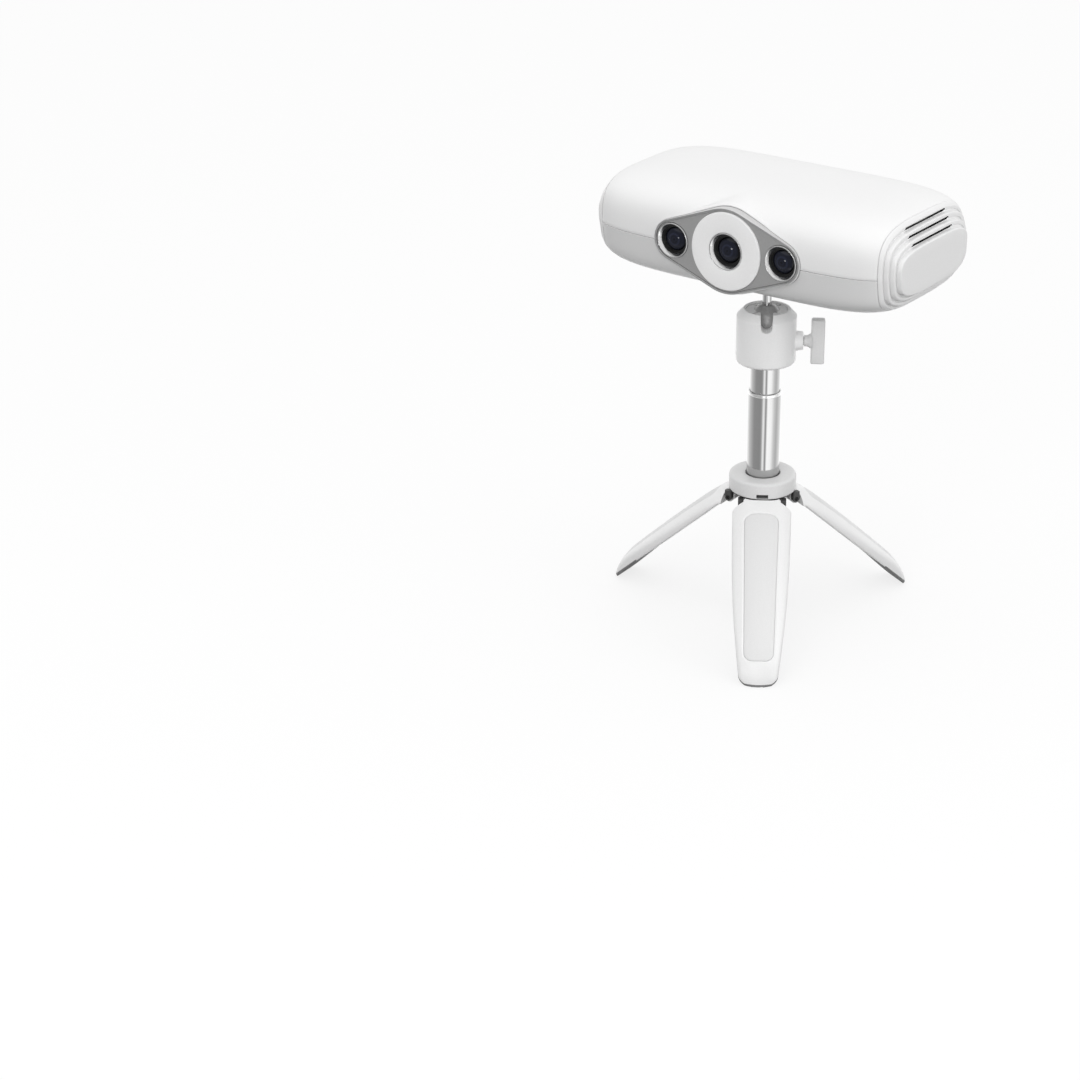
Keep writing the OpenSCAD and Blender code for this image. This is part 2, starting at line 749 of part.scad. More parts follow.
module board_screws() {
    color("silver") in_head() translate([0, 0, board_top_z]) board_screw_places() mirror([0, 0, 1])
        screw(small_screw_r, small_screw_l, small_head_r, small_head_t);
}

// The U notch that lets the stud swing down to one side
module notch(reach) {
    bottom_z = ball_z - neck_r - free_gap;
    top_z = ball_z + housing_top + past;
    mid_z = bottom_z + notch_w / 2;
    translate([0, 0, mid_z]) rotate([90, 0, 0]) linear_extrude(reach) {
        circle(d = notch_w);
        polygon([[-notch_w / 2, 0], [notch_w / 2, 0], [notch_top_w / 2, top_z - mid_z],
            [-notch_top_w / 2, top_z - mid_z]]);
    }
}

// The seat's foot, and the tapered shoe on the clamp screw's end that wedges under it
seat_foot = 0.8;
seat_foot_z = ball_z - ball_r - seat_foot;
shoe_r = clamp_drop - ball_r - seat_foot - free_gap / 2;
shoe_l = 12;
shoe_taper = 8;
// The spigot of the tube plug in the housing
plug_r = 3;
plug_l = 5;
// How far the boss reaches into the housing
boss_root = 2;

module ball_housing() {
    top_z = ball_z + housing_top;
    foot_chamfer = 1;
    mouth_edge = 1;
    boss_taper = 0.9;
    color("white") in_stand() difference() {
        union() {
            rotate_extrude() polygon([[0, housing_z], [housing_r - foot_chamfer, housing_z],
                [housing_r, housing_z + foot_chamfer], [housing_r, top_z - shoulder],
                [mouth_r + mouth_edge, top_z], [0, top_z]]);
            along_clamp(housing_r - boss_root)
                cylinder(r1 = clamp_boss_r, r2 = clamp_boss_r - boss_taper, h = clamp_boss_l + boss_root);
        }
        translate([0, 0, seat_foot_z]) cylinder(r = mouth_r, h = head_h);
        along_clamp(-shoe_l / 2 - free_gap) cylinder(r = shoe_r + free_gap, h = shoe_l + 2 * free_gap);
        along_clamp(0) cylinder(r = clamp_r + run_fit, h = housing_r + clamp_boss_l + past);
        translate([0, 0, housing_z - past]) cylinder(r = plug_r + seat_fit, h = plug_l + 2 * past);
        notch(housing_r + past);
    }
}

module ball_seat() {
    seat_drop = 0.5;
    slit_depth = 2;
    top_z = ball_z + housing_top - seat_drop;
    color("lightgray") in_stand() difference() {
        translate([0, 0, seat_foot_z]) cylinder(r = mouth_r - seat_fit, h = top_z - seat_foot_z);
        translate([0, 0, ball_z]) sphere(ball_r + seat_fit);
        translate([0, 0, seat_foot_z - past]) cylinder(r = ball_r / 2, h = ball_r);
        for (i = [0 : slit_n - 1]) rotate([0, 0, 45 + 360 * i / slit_n])
            translate([ball_r / 2, -slit_w / 2, ball_z - slit_depth]) cube([mouth_r, slit_w, housing_r]);
        notch(housing_r);
    }
}

module ball() { color("dimgray") translate([0, 0, ball_z]) sphere(ball_r); }

module ball_stud() {
    flange_z = ball_z + stud_reach - free_gap / 2 - flange_t;
    color("silver") difference() {
        union() {
            translate([0, 0, ball_z]) cylinder(r = neck_r, h = flange_z - ball_z + past);
            translate([0, 0, flange_z]) cylinder(r = flange_r, h = flange_t);
            translate([0, 0, flange_z]) cylinder(r = thread_r, h = flange_t + thread_l);
        }
        translate([0, 0, ball_z]) sphere(ball_r + run_fit);
    }
}

knob_x = housing_r + clamp_boss_l + free_gap;
bar_x = knob_x + knob_neck_l;

module clamp_knob() {
    neck_wall = 1;
    color("lightgray") in_stand() difference() {
        union() {
            along_clamp(knob_x) cylinder(r = clamp_r + neck_wall, h = knob_neck_l + past);
            translate([bar_x, 0, ball_z - clamp_drop]) rotate([90, 0, 0])
                linear_extrude(knob_bar_w, center = true) translate([knob_bar_t / 2, 0]) bar_outline();
        }
        along_clamp(knob_x - past) cylinder(r = clamp_r + seat_fit, h = knob_neck_l + knob_bar_t / 2 + past);
    }
}

// The bar seen from the side: a block with round corners
module bar_outline() {
    r = 0.9;
    square([knob_bar_t - 2 * r, knob_bar_h], center = true);
    square([knob_bar_t, knob_bar_h - 2 * r], center = true);
    each_corner(knob_bar_t / 2 - r, knob_bar_h / 2 - r) circle(r);
}

module clamp_screw() {
    start_x = shoe_l / 2 + seat_fit;
    end_x = bar_x + knob_bar_t / 2 - seat_fit;
    color("silver") in_stand() along_clamp(start_x) cylinder(r = clamp_r, h = end_x - start_x);
}

module clamp_shoe() {
    tip_r = shoe_r / 3;
    color("gray") in_stand() along_clamp(-shoe_l / 2) rotate_extrude()
        polygon([[0, 0], [tip_r, 0], [shoe_r, shoe_taper], [shoe_r, shoe_l], [0, shoe_l]]);
}

// A round tube standing on a height
module tube(r, wall, z, h) {
    translate([0, 0, z]) difference() {
        cylinder(r = r, h = h);
        translate([0, 0, -past]) cylinder(r = r - wall, h = h + 2 * past);
    }
}

module tube_plug() {
    body_l = 10;
    color("silver") translate([0, 0, housing_z - body_l]) {
        cylinder(r = upper_r - tube_wall - seat_fit / 2, h = body_l);
        cylinder(r = plug_r, h = body_l + plug_l);
    }
}

upper_foot_z = housing_z - upper_l;
lower_foot_z = lower_z - lower_l;

module upper_tube() {
    color("silver") tube(upper_r, tube_wall, upper_foot_z + bush_l / 2, upper_l - bush_l / 2);
}

// A bush that plugs into a tube's lower end and runs in the next tube
module bush(r_run, r_in, z) {
    wall = 1;
    translate([0, 0, z]) difference() {
        union() {
            cylinder(r = r_run, h = bush_l / 2);
            cylinder(r = r_in, h = bush_l);
        }
        translate([0, 0, -past]) cylinder(r = r_in - wall, h = bush_l + 2 * past);
    }
}

module upper_bush() {
    color("black") bush(lower_r - tube_wall - run_fit, upper_r - tube_wall - seat_fit / 2, upper_foot_z);
}

module lower_tube() {
    color("silver") tube(lower_r, tube_wall, lower_foot_z + bush_l / 2, lower_l - bush_l / 2 - lip_h);
}

module lip_ring() {
    lip_r = lower_r + 0.25;
    color("silver") tube(lip_r, lip_r - upper_r - run_fit, lower_z - lip_h, lip_h);
}

module lower_bush() {
    color("black") bush(sleeve_r - sleeve_wall - run_fit, lower_r - tube_wall - seat_fit / 2, lower_foot_z);
}

collar_roof = 1.4;
sleeve_top_z = collar_z + collar_h - collar_roof;
sleeve_cap_t = 2;

module column_sleeve() {
    color("dimgray") tube(sleeve_r, sleeve_wall, sleeve_floor, sleeve_top_z - sleeve_floor);
}

module sleeve_cap() {
    color("black") {
        translate([0, 0, sleeve_floor - sleeve_cap_t]) cylinder(r = sleeve_r, h = sleeve_cap_t);
        translate([0, 0, sleeve_floor]) cylinder(r = sleeve_r - sleeve_wall - seat_fit / 2, h = sleeve_cap_t);
    }
}

module hub_collar() {
    r = collar_round;
    slot_in = 3;
    slot_w = 5.2;
    slot_lift = 1.2;
    collar_slot_h = 1.6;
    color("lightgray") difference() {
        rotate_extrude() {
            translate([0, collar_z]) square([collar_r - r, collar_h]);
            translate([0, collar_z + r]) square([collar_r, collar_h - 2 * r]);
            for (z = [collar_z + r, collar_z + collar_h - r]) translate([collar_r - r, z]) circle(r);
        }
        translate([0, 0, collar_z - past])
            cylinder(r = sleeve_r + seat_fit, h = sleeve_top_z - collar_z + past + seat_fit);
        translate([0, 0, collar_z - past])
            cylinder(r = lower_r + free_gap + run_fit, h = collar_h + 2 * past);
        in_stand() at_legs() translate([collar_r - slot_in, -slot_w / 2, collar_z + slot_lift])
            cube([2 * slot_in, slot_w, collar_slot_h]);
    }
}

// The hinge lugs and pins, the plate that carries the lugs, and how far the yoke reaches below the hinges
lug_end_r = pin_r + 1;
pin_l = neck_w + 2 * (free_gap + lug_t);
lug_plate_in = 0.55;
lug_plate_r = collar_r - lug_plate_in;
lug_plate_t = 1.4;
yoke_drop = 6;

// A lug seen from the side: a round end about the pin, and a block that is a hair narrower up to the plate
module lug_outline() {
    hair = 0.02;
    block_w = lug_end_r - hair;
    translate([hinge_r, hinge_z]) circle(lug_end_r);
    translate([hinge_r - block_w, hinge_z]) square([2 * block_w, collar_lift - lug_plate_t / 2]);
}

module leg_yoke() {
    foot_z = hinge_z - yoke_drop;
    color("dimgray") in_stand() difference() {
        union() {
            translate([0, 0, foot_z]) cylinder(r = yoke_r, h = collar_z - foot_z);
            translate([0, 0, collar_z - lug_plate_t]) cylinder(r = lug_plate_r, h = lug_plate_t);
            at_legs() for (s = [-1, 1]) translate([0, s * (neck_w / 2 + free_gap + lug_t / 2), 0])
                rotate([90, 0, 0]) linear_extrude(lug_t, center = true) lug_outline();
        }
        translate([0, 0, foot_z - past]) cylinder(r = sleeve_r + seat_fit, h = collar_z - foot_z + 2 * past);
        at_legs() translate([hinge_r, 0, hinge_z]) rotate([90, 0, 0])
            cylinder(r = pin_r + seat_fit / 2, h = pin_l + 2 * past, center = true);
    }
}

// Each leg's own direction, with +X pointing out along the leg
module at_leg(k) { rotate([0, 0, 120 * k - 90]) children(); }
module at_legs() { for (k = [0 : 2]) at_leg(k) children(); }

module hinge_pins() {
    color("silver") in_stand() at_legs() translate([hinge_r, 0, hinge_z]) rotate([90, 0, 0])
        cylinder(r = pin_r, h = pin_l, center = true);
}

// Swings a leg from upright, where the three legs make a grip, out to its open stop
module open_leg(k) {
    in_stand() at_leg(k) translate([hinge_r, 0, hinge_z]) rotate([0, -spread, 0])
        translate([-hinge_r, 0, 0]) children();
}

// The round grip that the folded legs make, narrower at the hinges and rounded in to the feet
module grip(inset) {
    rotate_extrude($fn = 180) polygon(concat([[0, ear_r], [grip_r * grip_top_share - inset, ear_r]],
        [for (p = grip_shares) [grip_r * p[1] - inset, -leg_l * p[0]]], [[0, -leg_l]]));
}

// A leg seen from outside: wide at the hinge, narrow and round at the foot
module leg_outline() {
    top_round = 4;
    shoulder_z = 1;
    foot_round = 6;
    past_floor = 0.1;
    translate([-neck_w / 2, -leg_l / 2]) square([neck_w, leg_l / 2 + ear_r]);
    hull() {
        each_side(leg_top_w / 2 - top_round) translate([0, shoulder_z - top_round])
            circle(top_round, $fn = 32);
        each_side(leg_mid_w / 2 - top_round) translate([0, -leg_l * mid_share]) circle(top_round, $fn = 32);
        each_side(leg_foot_w / 2 - foot_round) translate([0, foot_round - floor_l - past_floor])
            circle(foot_round, $fn = 32);
    }
}

module inlay_outline(grow) {
    top_z = -6.8;
    foot_z = top_z - leg_l * inlay_share;
    round_r = 4;
    hull() {
        each_side(inlay_top_w / 2 - round_r) translate([0, top_z - round_r]) circle(round_r + grow, $fn = 32);
        each_side(inlay_foot_w / 2 - round_r) translate([0, foot_z + round_r])
            circle(round_r + grow, $fn = 32);
    }
}

// Stands an outline up in front of a folded leg and runs it in towards the column
module through_leg() { rotate([90, 0, 90]) linear_extrude(2 * grip_r) children(); }

// Runs a shape that is seen from a folded leg's side through the leg's whole width
module from_side() { rotate([90, 0, 0]) linear_extrude(leg_top_w * 2, center = true) children(); }

// The inner face of a leg runs through its hinge, and stands in only where the ears hold the pin
module leg_side() {
    ear_in = hinge_r - ear_r;
    ear_end = ear_r;
    polygon([[ear_in, ear_r], [grip_r * 2, ear_r], [grip_r * 2, -leg_l], [hinge_r + foot_in, -leg_l],
        [hinge_r + foot_in, foot_l - floor_l], [hinge_r, foot_l - floor_l], [hinge_r, -ear_end - ear_r],
        [ear_in, -ear_end]]);
}

// The space of a foot pad, which stands out further towards the tip
module foot_side() {
    polygon([[hinge_r + foot_in, foot_l - floor_l], [hinge_r, foot_l - floor_l],
        [hinge_r - foot_proud, -floor_l], [hinge_r - foot_proud, -leg_l], [hinge_r + foot_in, -leg_l]]);
}

module leg_blank() {
    intersection() {
        grip(0);
        through_leg() leg_outline();
    }
}

// A leg's form in its folded place, before its foot is cut level with the floor
module leg_form() {
    pass_r = hinge_r - yoke_r - free_gap;
    difference() {
        intersection() {
            leg_blank();
            from_side() leg_side();
        }
        translate([0, 0, -yoke_drop - 1]) cylinder(r = yoke_r + free_gap, h = leg_l);
        from_side() difference() {
            square([hinge_r, leg_l]);
            translate([hinge_r, 0]) circle(pass_r);
        }
        translate([hinge_r, 0, 0]) rotate([90, 0, 0])
            cylinder(r = pin_r + run_fit, h = pin_l + 2 * past, center = true);
        difference() {
            through_leg() inlay_outline(seat_fit);
            grip(inlay_sink + inlay_t);
        }
    }
}

module floor_slab(z0, z1) { translate([0, 0, z0]) cylinder(r = head_l, h = z1 - z0); }

// Room for the lugs at both sides of a leg's neck
module lug_room(k) {
    reach = hinge_r + lug_end_r + free_gap;
    in_stand() at_leg(k) for (s = [-1, 1]) translate([0, s * (neck_w + leg_top_w) / 2, hinge_z])
        cube([2 * reach, leg_top_w, hinge_z], center = true);
}

module leg(k) {
    color("whitesmoke") difference() {
        open_leg(k) leg_form();
        floor_slab(-leg_l, foot_t);
        lug_room(k);
        translate([0, 0, collar_z - free_gap]) cylinder(r = collar_r + free_gap, h = collar_h);
        translate([0, 0, collar_z - lug_plate_t - free_gap]) cylinder(r = lug_plate_r + free_gap, h = collar_h);
    }
}

module foot(k) {
    color("dimgray") intersection() {
        open_leg(k) leg_blank();
        floor_slab(0, hinge_z);
        union() {
            open_leg(k) from_side() foot_side();
            intersection() {
                open_leg(k) from_side() translate([hinge_r, -leg_l]) square([grip_r, leg_l]);
                floor_slab(-past, foot_t);
            }
        }
    }
}

module inlay(k) {
    color("gainsboro") open_leg(k) intersection() {
        difference() {
            grip(inlay_sink);
            grip(inlay_sink + inlay_t);
        }
        through_leg() inlay_outline(0);
    }
}

module front_leg() { leg(0); }
module right_leg() { leg(1); }
module left_leg() { leg(2); }
module front_inlay() { inlay(0); }
module right_inlay() { inlay(1); }
module left_inlay() { inlay(2); }
module front_foot() { foot(0); }
module right_foot() { foot(1); }
module left_foot() { foot(2); }

upper_shell();
lower_shell();
left_end_cap();
right_end_cap();
faceplate_rim();
faceplate();
ring_diffuser();
ring_board();
ring_leds();
centre_bezel();
left_bezel();
right_bezel();
centre_barrel();
left_barrel();
right_barrel();
centre_glass();
left_glass();
right_glass();
optical_bench();
left_camera_board();
right_camera_board();
light_engine();
main_board();
thermal_pad();
heat_sink();
camera_ribbons();
usb_socket();
power_jack();
tripod_insert();
shell_screws();
bench_screws();
board_screws();
ball_housing();
ball_seat();
ball();
ball_stud();
clamp_knob();
clamp_screw();
clamp_shoe();
tube_plug();
upper_tube();
upper_bush();
lower_tube();
lip_ring();
lower_bush();
column_sleeve();
sleeve_cap();
hub_collar();
leg_yoke();
hinge_pins();
front_leg();
right_leg();
left_leg();
front_inlay();
right_inlay();
left_inlay();
front_foot();
right_foot();
left_foot();
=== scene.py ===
import math

import bmesh
import bpy
from mathutils import Matrix, Vector


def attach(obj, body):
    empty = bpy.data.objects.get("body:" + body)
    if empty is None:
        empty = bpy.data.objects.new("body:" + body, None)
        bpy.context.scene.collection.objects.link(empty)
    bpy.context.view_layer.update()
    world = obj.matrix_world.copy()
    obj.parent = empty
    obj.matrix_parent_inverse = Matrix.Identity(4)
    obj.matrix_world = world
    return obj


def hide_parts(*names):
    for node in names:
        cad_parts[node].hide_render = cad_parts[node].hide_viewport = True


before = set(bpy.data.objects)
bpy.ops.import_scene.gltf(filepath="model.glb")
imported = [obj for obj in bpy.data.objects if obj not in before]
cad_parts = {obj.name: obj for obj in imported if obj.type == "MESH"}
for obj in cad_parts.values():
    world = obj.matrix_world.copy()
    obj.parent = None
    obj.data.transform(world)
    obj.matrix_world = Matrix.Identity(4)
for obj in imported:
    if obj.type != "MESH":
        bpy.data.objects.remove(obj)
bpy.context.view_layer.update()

# The outer sleeve of the column is a drawn aluminium tube that the collar is pressed onto.
# A moulded black cap closes its foot. Both stand in the middle, between the legs.


def shade(level, tint=(1, 1, 1)):
    """A grey as the eye sees it, from 0 to 1, as the renderer's colour."""
    seen = [level * t for t in tint]
    return [v / 12.92 if v <= 0.04045 else ((v + 0.055) / 1.055) ** 2.4 for v in seen] + [1]


def wire(start, output, end, socket):
    """Leads an output of one node to a socket of another."""
    start.id_data.links.new(start.outputs[output], end.inputs[socket])


def finish(name, dark, light, rough, drift=0.05, grain=1.0, relief=0.0, metal=0.0, stretch=(1, 1, 1),
           **sockets):
    """A surface whose colour and gloss wander between two values, with a fine relief in millimetres."""
    material = bpy.data.materials.new(name)
    material.use_nodes = True
    nodes = material.node_tree.nodes
    shader = nodes["Principled BSDF"]
    shader.inputs["Metallic"].default_value = metal
    for socket, value in sockets.items():
        shader.inputs[socket.replace("_", " ")].default_value = value
    place = nodes.new("ShaderNodeTexCoord")
    scale = nodes.new("ShaderNodeMapping")
    scale.inputs["Scale"].default_value = [1000 / grain * s for s in stretch]
    mottle = nodes.new("ShaderNodeTexNoise")
    mottle.inputs["Scale"].default_value = 1
    mottle.inputs["Detail"].default_value = 4
    low, high = 0.3, 0.7
    tone = nodes.new("ShaderNodeValToRGB")
    for stop, at, colour in zip(tone.color_ramp.elements, (low, high), (dark, light)):
        stop.position = at
        stop.color = colour
    gloss = nodes.new("ShaderNodeMapRange")
    ends = {"From Min": low, "From Max": high, "To Min": rough + drift, "To Max": rough - drift}
    for socket, value in ends.items():
        gloss.inputs[socket].default_value = value
    wire(place, "Object", scale, "Vector")
    wire(scale, "Vector", mottle, "Vector")
    wire(mottle, "Fac", tone, "Fac")
    wire(mottle, "Fac", gloss, "Value")
    wire(tone, "Color", shader, "Base Color")
    wire(gloss, "Result", shader, "Roughness")
    if relief:
        bump = nodes.new("ShaderNodeBump")
        bump.inputs["Distance"].default_value = relief / 1000
        wire(mottle, "Fac", bump, "Height")
        wire(bump, "Normal", shader, "Normal")
    return material


def dress(node, material):
    """Gives a solid of the frame its finish."""
    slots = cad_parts[node].data.materials
    slots.clear()
    slots.append(material)


aluminium = finish("drawn_aluminium", shade(0.68), shade(0.73), 0.38, grain=0.6, relief=0.004, metal=1.0,
                   stretch=(1, 1, 0.05))
# This black also goes on the end caps' vent walls and hollow inside, as painted shade.
black_plastic_and_vent_shade = finish("black_plastic_and_vent_shade", shade(0.10), shade(0.14), 0.5, grain=0.4, relief=0.02)
dress("column_sleeve", aluminium)
dress("sleeve_cap", black_plastic_and_vent_shade)

# The collar is a ring moulded in grey plastic with rounded edges, and pressed on the sleeve.
# A short slot is moulded into its rim over each of the three legs, and its inner faces are painted mid grey as
# painted shade.
stand = Matrix.Rotation(math.radians(32), 4, "Z")
millimetres = Matrix.Diagonal((0.001, 0.001, 0.001, 1))


def soft(corners, steps=5):
    """An outline whose corners, given as (x, y, radius), are rounded."""
    outline = []
    for i, (x, y, r) in enumerate(corners):
        here = Vector((x, y))
        back = (Vector(corners[i - 1][:2]) - here).normalized()
        on = (Vector(corners[(i + 1) % len(corners)][:2]) - here).normalized()
        if r <= 0 or back.dot(on) < -0.9999:
            outline.append((x, y))
            continue
        half = back.angle(on) / 2
        centre = here + (back + on).normalized() * (r / math.sin(half))
        start = here + back * (r / math.tan(half)) - centre
        end = here + on * (r / math.tan(half)) - centre
        first = math.atan2(start.y, start.x)
        turn = (math.atan2(end.y, end.x) - first + math.pi) % (2 * math.pi) - math.pi
        for k in range(steps + 1):
            a = first + turn * k / steps
            outline.append((centre.x + r * math.cos(a), centre.y + r * math.sin(a)))
    return outline


def lathe(profile, turns=128):
    """Points and faces of a closed profile of (radius, height) turned about the axis."""
    points, faces, rows = [], [], []
    for r, h in profile:
        if r < 1e-6:
            rows.append([len(points)] * turns)
            points.append((0, 0, h))
        else:
            rows.append(range(len(points), len(points) + turns))
            points += [(r * math.cos(2 * math.pi * i / turns), r * math.sin(2 * math.pi * i / turns), h)
                       for i in range(turns)]
    for a, b in zip(rows, rows[1:] + rows[:1]):
        for i in range(turns):
            j = (i + 1) % turns
            face = list(dict.fromkeys((a[i], a[j], b[j], b[i])))
            if len(face) > 2:
                faces.append(face)
    return points, faces


def loft(rings, ends="flat"):
    """Points and faces of a skin through rings of equally many points, with flat, open or looped ends."""
    n = len(rings[0])
    points = [p for ring in rings for p in ring]
    pairs = [(a, a + 1) for a in range(len(rings) - 1)]
    if ends == "loop":
        pairs.append((len(rings) - 1, 0))
    faces = [(a * n + i, a * n + (i + 1) % n, b * n + (i + 1) % n, b * n + i)
             for a, b in pairs for i in range(n)]
    if ends == "flat":
        faces += [tuple(range(n))[::-1], tuple(range(len(points) - n, len(points)))]
    return points, faces


def smooth(thing):
    """Welds a mesh, turns its faces outward and shades it smooth between its sharp edges."""
    weld, crease = 2e-7, 32
    work = bmesh.new()
    work.from_mesh(thing.data)
    bmesh.ops.remove_doubles(work, verts=work.verts, dist=weld)
    bmesh.ops.dissolve_degenerate(work, edges=work.edges, dist=weld)
    bmesh.ops.recalc_face_normals(work, faces=work.faces)
    work.to_mesh(thing.data)
    work.free()
    thing.data.shade_smooth()
    thing.data.set_sharp_from_angle(angle=math.radians(crease))
    return thing


def add(name, data):
    """A new object, put into the scene."""
    thing = bpy.data.objects.new(name, data)
    bpy.context.collection.objects.link(thing)
    return thing


def piece(name, shape, place=Matrix()):
    """A mesh object from points in millimetres and faces, set in its place in the frame."""
    points, faces = shape
    mesh = bpy.data.meshes.new(name)
    mesh.from_pydata([millimetres @ place @ Vector(p) for p in points], [], faces)
    return smooth(add(name, mesh))


def carve(thing, tool, how="DIFFERENCE", keep=False):
    """Cuts a tool out of a piece, or joins it on, and puts the tool away."""
    step = thing.modifiers.new("carve", "BOOLEAN")
    step.operation, step.solver, step.object = how, "EXACT", tool
    bpy.context.view_layer.update()
    made = thing.evaluated_get(bpy.context.evaluated_depsgraph_get())
    result = bpy.data.meshes.new_from_object(made)
    thing.modifiers.clear()
    spare = thing.data
    thing.data = result
    bpy.data.meshes.remove(spare)
    if not keep:
        bpy.data.objects.remove(tool)
    smooth(thing)


def fit(thing, body, node, material):
    """Fits a finished piece in place of its solid."""
    thing.data.materials.clear()
    thing.data.materials.append(material)
    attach(thing, body)
    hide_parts(node)


def block(low, high):
    """A box between two corners in millimetres."""
    (x0, y0, z0), (x1, y1, z1) = low, high
    return loft([[(x0, y0, z), (x1, y0, z), (x1, y1, z), (x0, y1, z)] for z in (z0, z1)])


def leg_turn(k):
    """The direction of leg k, with x pointing out along the leg."""
    return stand @ Matrix.Rotation(math.radians(120 * k - 90), 4, "Z")


collar_r, collar_low, collar_roof, collar_top = 15.3, 62.7, 69.1, 70.4
sleeve_fit, tube_fit = 8.31, 7.83
collar_profile = soft([(sleeve_fit, collar_low, 0.2), (collar_r, collar_low, 1.0), (collar_r, collar_top, 1.4),
                       (tube_fit, collar_top, 0.5), (tube_fit, collar_roof, 0), (sleeve_fit, collar_roof, 0)])
collar = piece("hub_collar_ring", lathe(collar_profile, 160))
slot_bed, slot_half, slot_low, slot_high = 11.5, 2.65, 63.5, 65.3
for k in range(3):
    slot_tool = block((slot_bed, -slot_half, slot_low), (18, slot_half, slot_high))
    carve(collar, piece("slot_tool", slot_tool, leg_turn(k)))
collar_grey = finish("collar_plastic", shade(0.86), shade(0.885), 0.42, grain=0.5, relief=0.012,
                     Coat_Weight=0.15, Coat_Roughness=0.25)
fit(collar, "base", "hub_collar", collar_grey)
# The faces inside each slot take a mid grey: painted shade for the recess.
painted_slot_shade = finish("slot_painted_shade", shade(0.50), shade(0.56), 0.6, grain=0.4, relief=0.02)
collar.data.materials.append(painted_slot_shade)
for face in collar.data.polygons:
    out, up = math.hypot(*face.center[:2]) * 1000, face.center.z * 1000
    in_slot = slot_bed - 0.5 < out < collar_r - 0.1 and slot_low - 0.1 < up < slot_high + 0.1
    face.material_index = 1 if in_slot else 0

# The yoke under the collar is a dark moulding: a plate, a ring round the sleeve, and two lugs for each leg.
# A steel pin is pressed through each pair of lugs, and the leg's neck turns on it.
hinge_out, hinge_up, lug_r, lug_root = 11.8, 58.6, 1.75, 61.9
ring_r, ring_low, disc_r, disc_low = 9.31, 52.6, 13.6, 61.3
yoke_profile = soft([(sleeve_fit, ring_low, 0.2), (ring_r, ring_low, 0.3), (ring_r, disc_low, 0.4),
                     (disc_r, disc_low, 0.4), (disc_r, collar_low, 0.3), (sleeve_fit, collar_low, 0)], 3)
yoke = piece("leg_yoke_moulding", lathe(yoke_profile))
lug_edge = [(0.3, 8.7), (0, 9.0), (0, 10.6), (0.3, 10.9)]
for k in range(3):
    for side in (-1, 1):
        rings = []
        for inset, y in lug_edge:
            r = lug_r - inset
            turned = [(hinge_out + r * math.cos(a), hinge_up + r * math.sin(a))
                      for a in (math.radians(180 + 15 * i) for i in range(13))]
            turned += [(hinge_out + r, lug_root), (hinge_out - r, lug_root)]
            rings.append([(x, side * y, z) for x, z in turned])
        carve(yoke, piece("lug", loft(rings), leg_turn(k)), "UNION")
yoke_dark = finish("yoke_plastic", shade(0.20), shade(0.26), 0.45, grain=0.5, relief=0.02)
fit(yoke, "base", "leg_yoke", yoke_dark)
steel = finish("turned_steel", shade(0.70), shade(0.78), 0.28, grain=0.4, relief=0.006, metal=1.0)
dress("hinge_pins", steel)

# The legs are white mouldings whose outsides make a round grip when they are folded together.
# Each has a grey inlay panel pressed into a shallow bed, and a rubber pad moulded on its foot.
leg_spread = math.radians(47.8)
floor_slope = math.tan(leg_spread)
grip_radii = [(2.2, 17.16), (-6, 18.45), (-13.7, 19.2), (-30, 19.5), (-50, 19.4), (-70, 18.9), (-76, 18.05),
              (-80.3, 16.8), (-84.4, 15.0), (-88, 12.5), (-91.2, 10.1)]
leg_half_widths = [(-3, 13.3), (-18, 13.15), (-32, 12.85), (-44.7, 12.3), (-57, 11.45), (-70, 10.2),
                   (-81.34, 8.95)]
neck_half, neck_r = 8.4, 2.19
shoulder_up, shoulder_mid, shoulder_r = -3, 9.3, 4
toe_up, toe_mid, toe_r = -81.34, 2.95, 6
inner_faces = [(0, 9.61), (-2.2, 9.62)] + [(z, hinge_out) for z in (-4.6, -6, -66, -67.2)]
inner_faces += [(-87.24, 10.9), (-95, 10.9)]


def reading(table, at):
    """A value read off a table of (place, value) along a smooth curve."""
    rows = sorted(table)
    if at <= rows[0][0] or at >= rows[-1][0]:
        return rows[0][1] if at <= rows[0][0] else rows[-1][1]
    i = max(k for k in range(len(rows) - 1) if rows[k][0] <= at)
    (x0, y0), (x1, y1) = rows[i], rows[i + 1]
    rise = (y1 - y0) / (x1 - x0)
    before = rise if i == 0 else (y1 - rows[i - 1][1]) / (x1 - rows[i - 1][0])
    after = rise if i + 2 == len(rows) else (rows[i + 2][1] - y0) / (rows[i + 2][0] - x0)
    t, d = (at - x0) / (x1 - x0), x1 - x0
    return (y0 * (1 + 2 * t) * (1 - t) ** 2 + before * d * t * (1 - t) ** 2
            + y1 * t * t * (3 - 2 * t) - after * d * t * t * (1 - t))


def leg_half_width(z):
    """Half the width of a leg at a height: neck, round shoulder, long flank, round foot."""
    if z > shoulder_up + shoulder_r:
        return neck_half
    if z > shoulder_up:
        return shoulder_mid + math.sqrt(max(shoulder_r ** 2 - (z - shoulder_up) ** 2, 0))
    if z > toe_up:
        return reading(leg_half_widths, z)
    return toe_mid + math.sqrt(max(toe_r ** 2 - (z - toe_up) ** 2, 0))


def leg_inner(z):
    """The inner face of a leg: round about the pin, then flat, then standing in where the pad is."""
    if z > 0:
        return hinge_out - math.sqrt(max(neck_r ** 2 - z * z, 0))
    return reading(inner_faces, z)


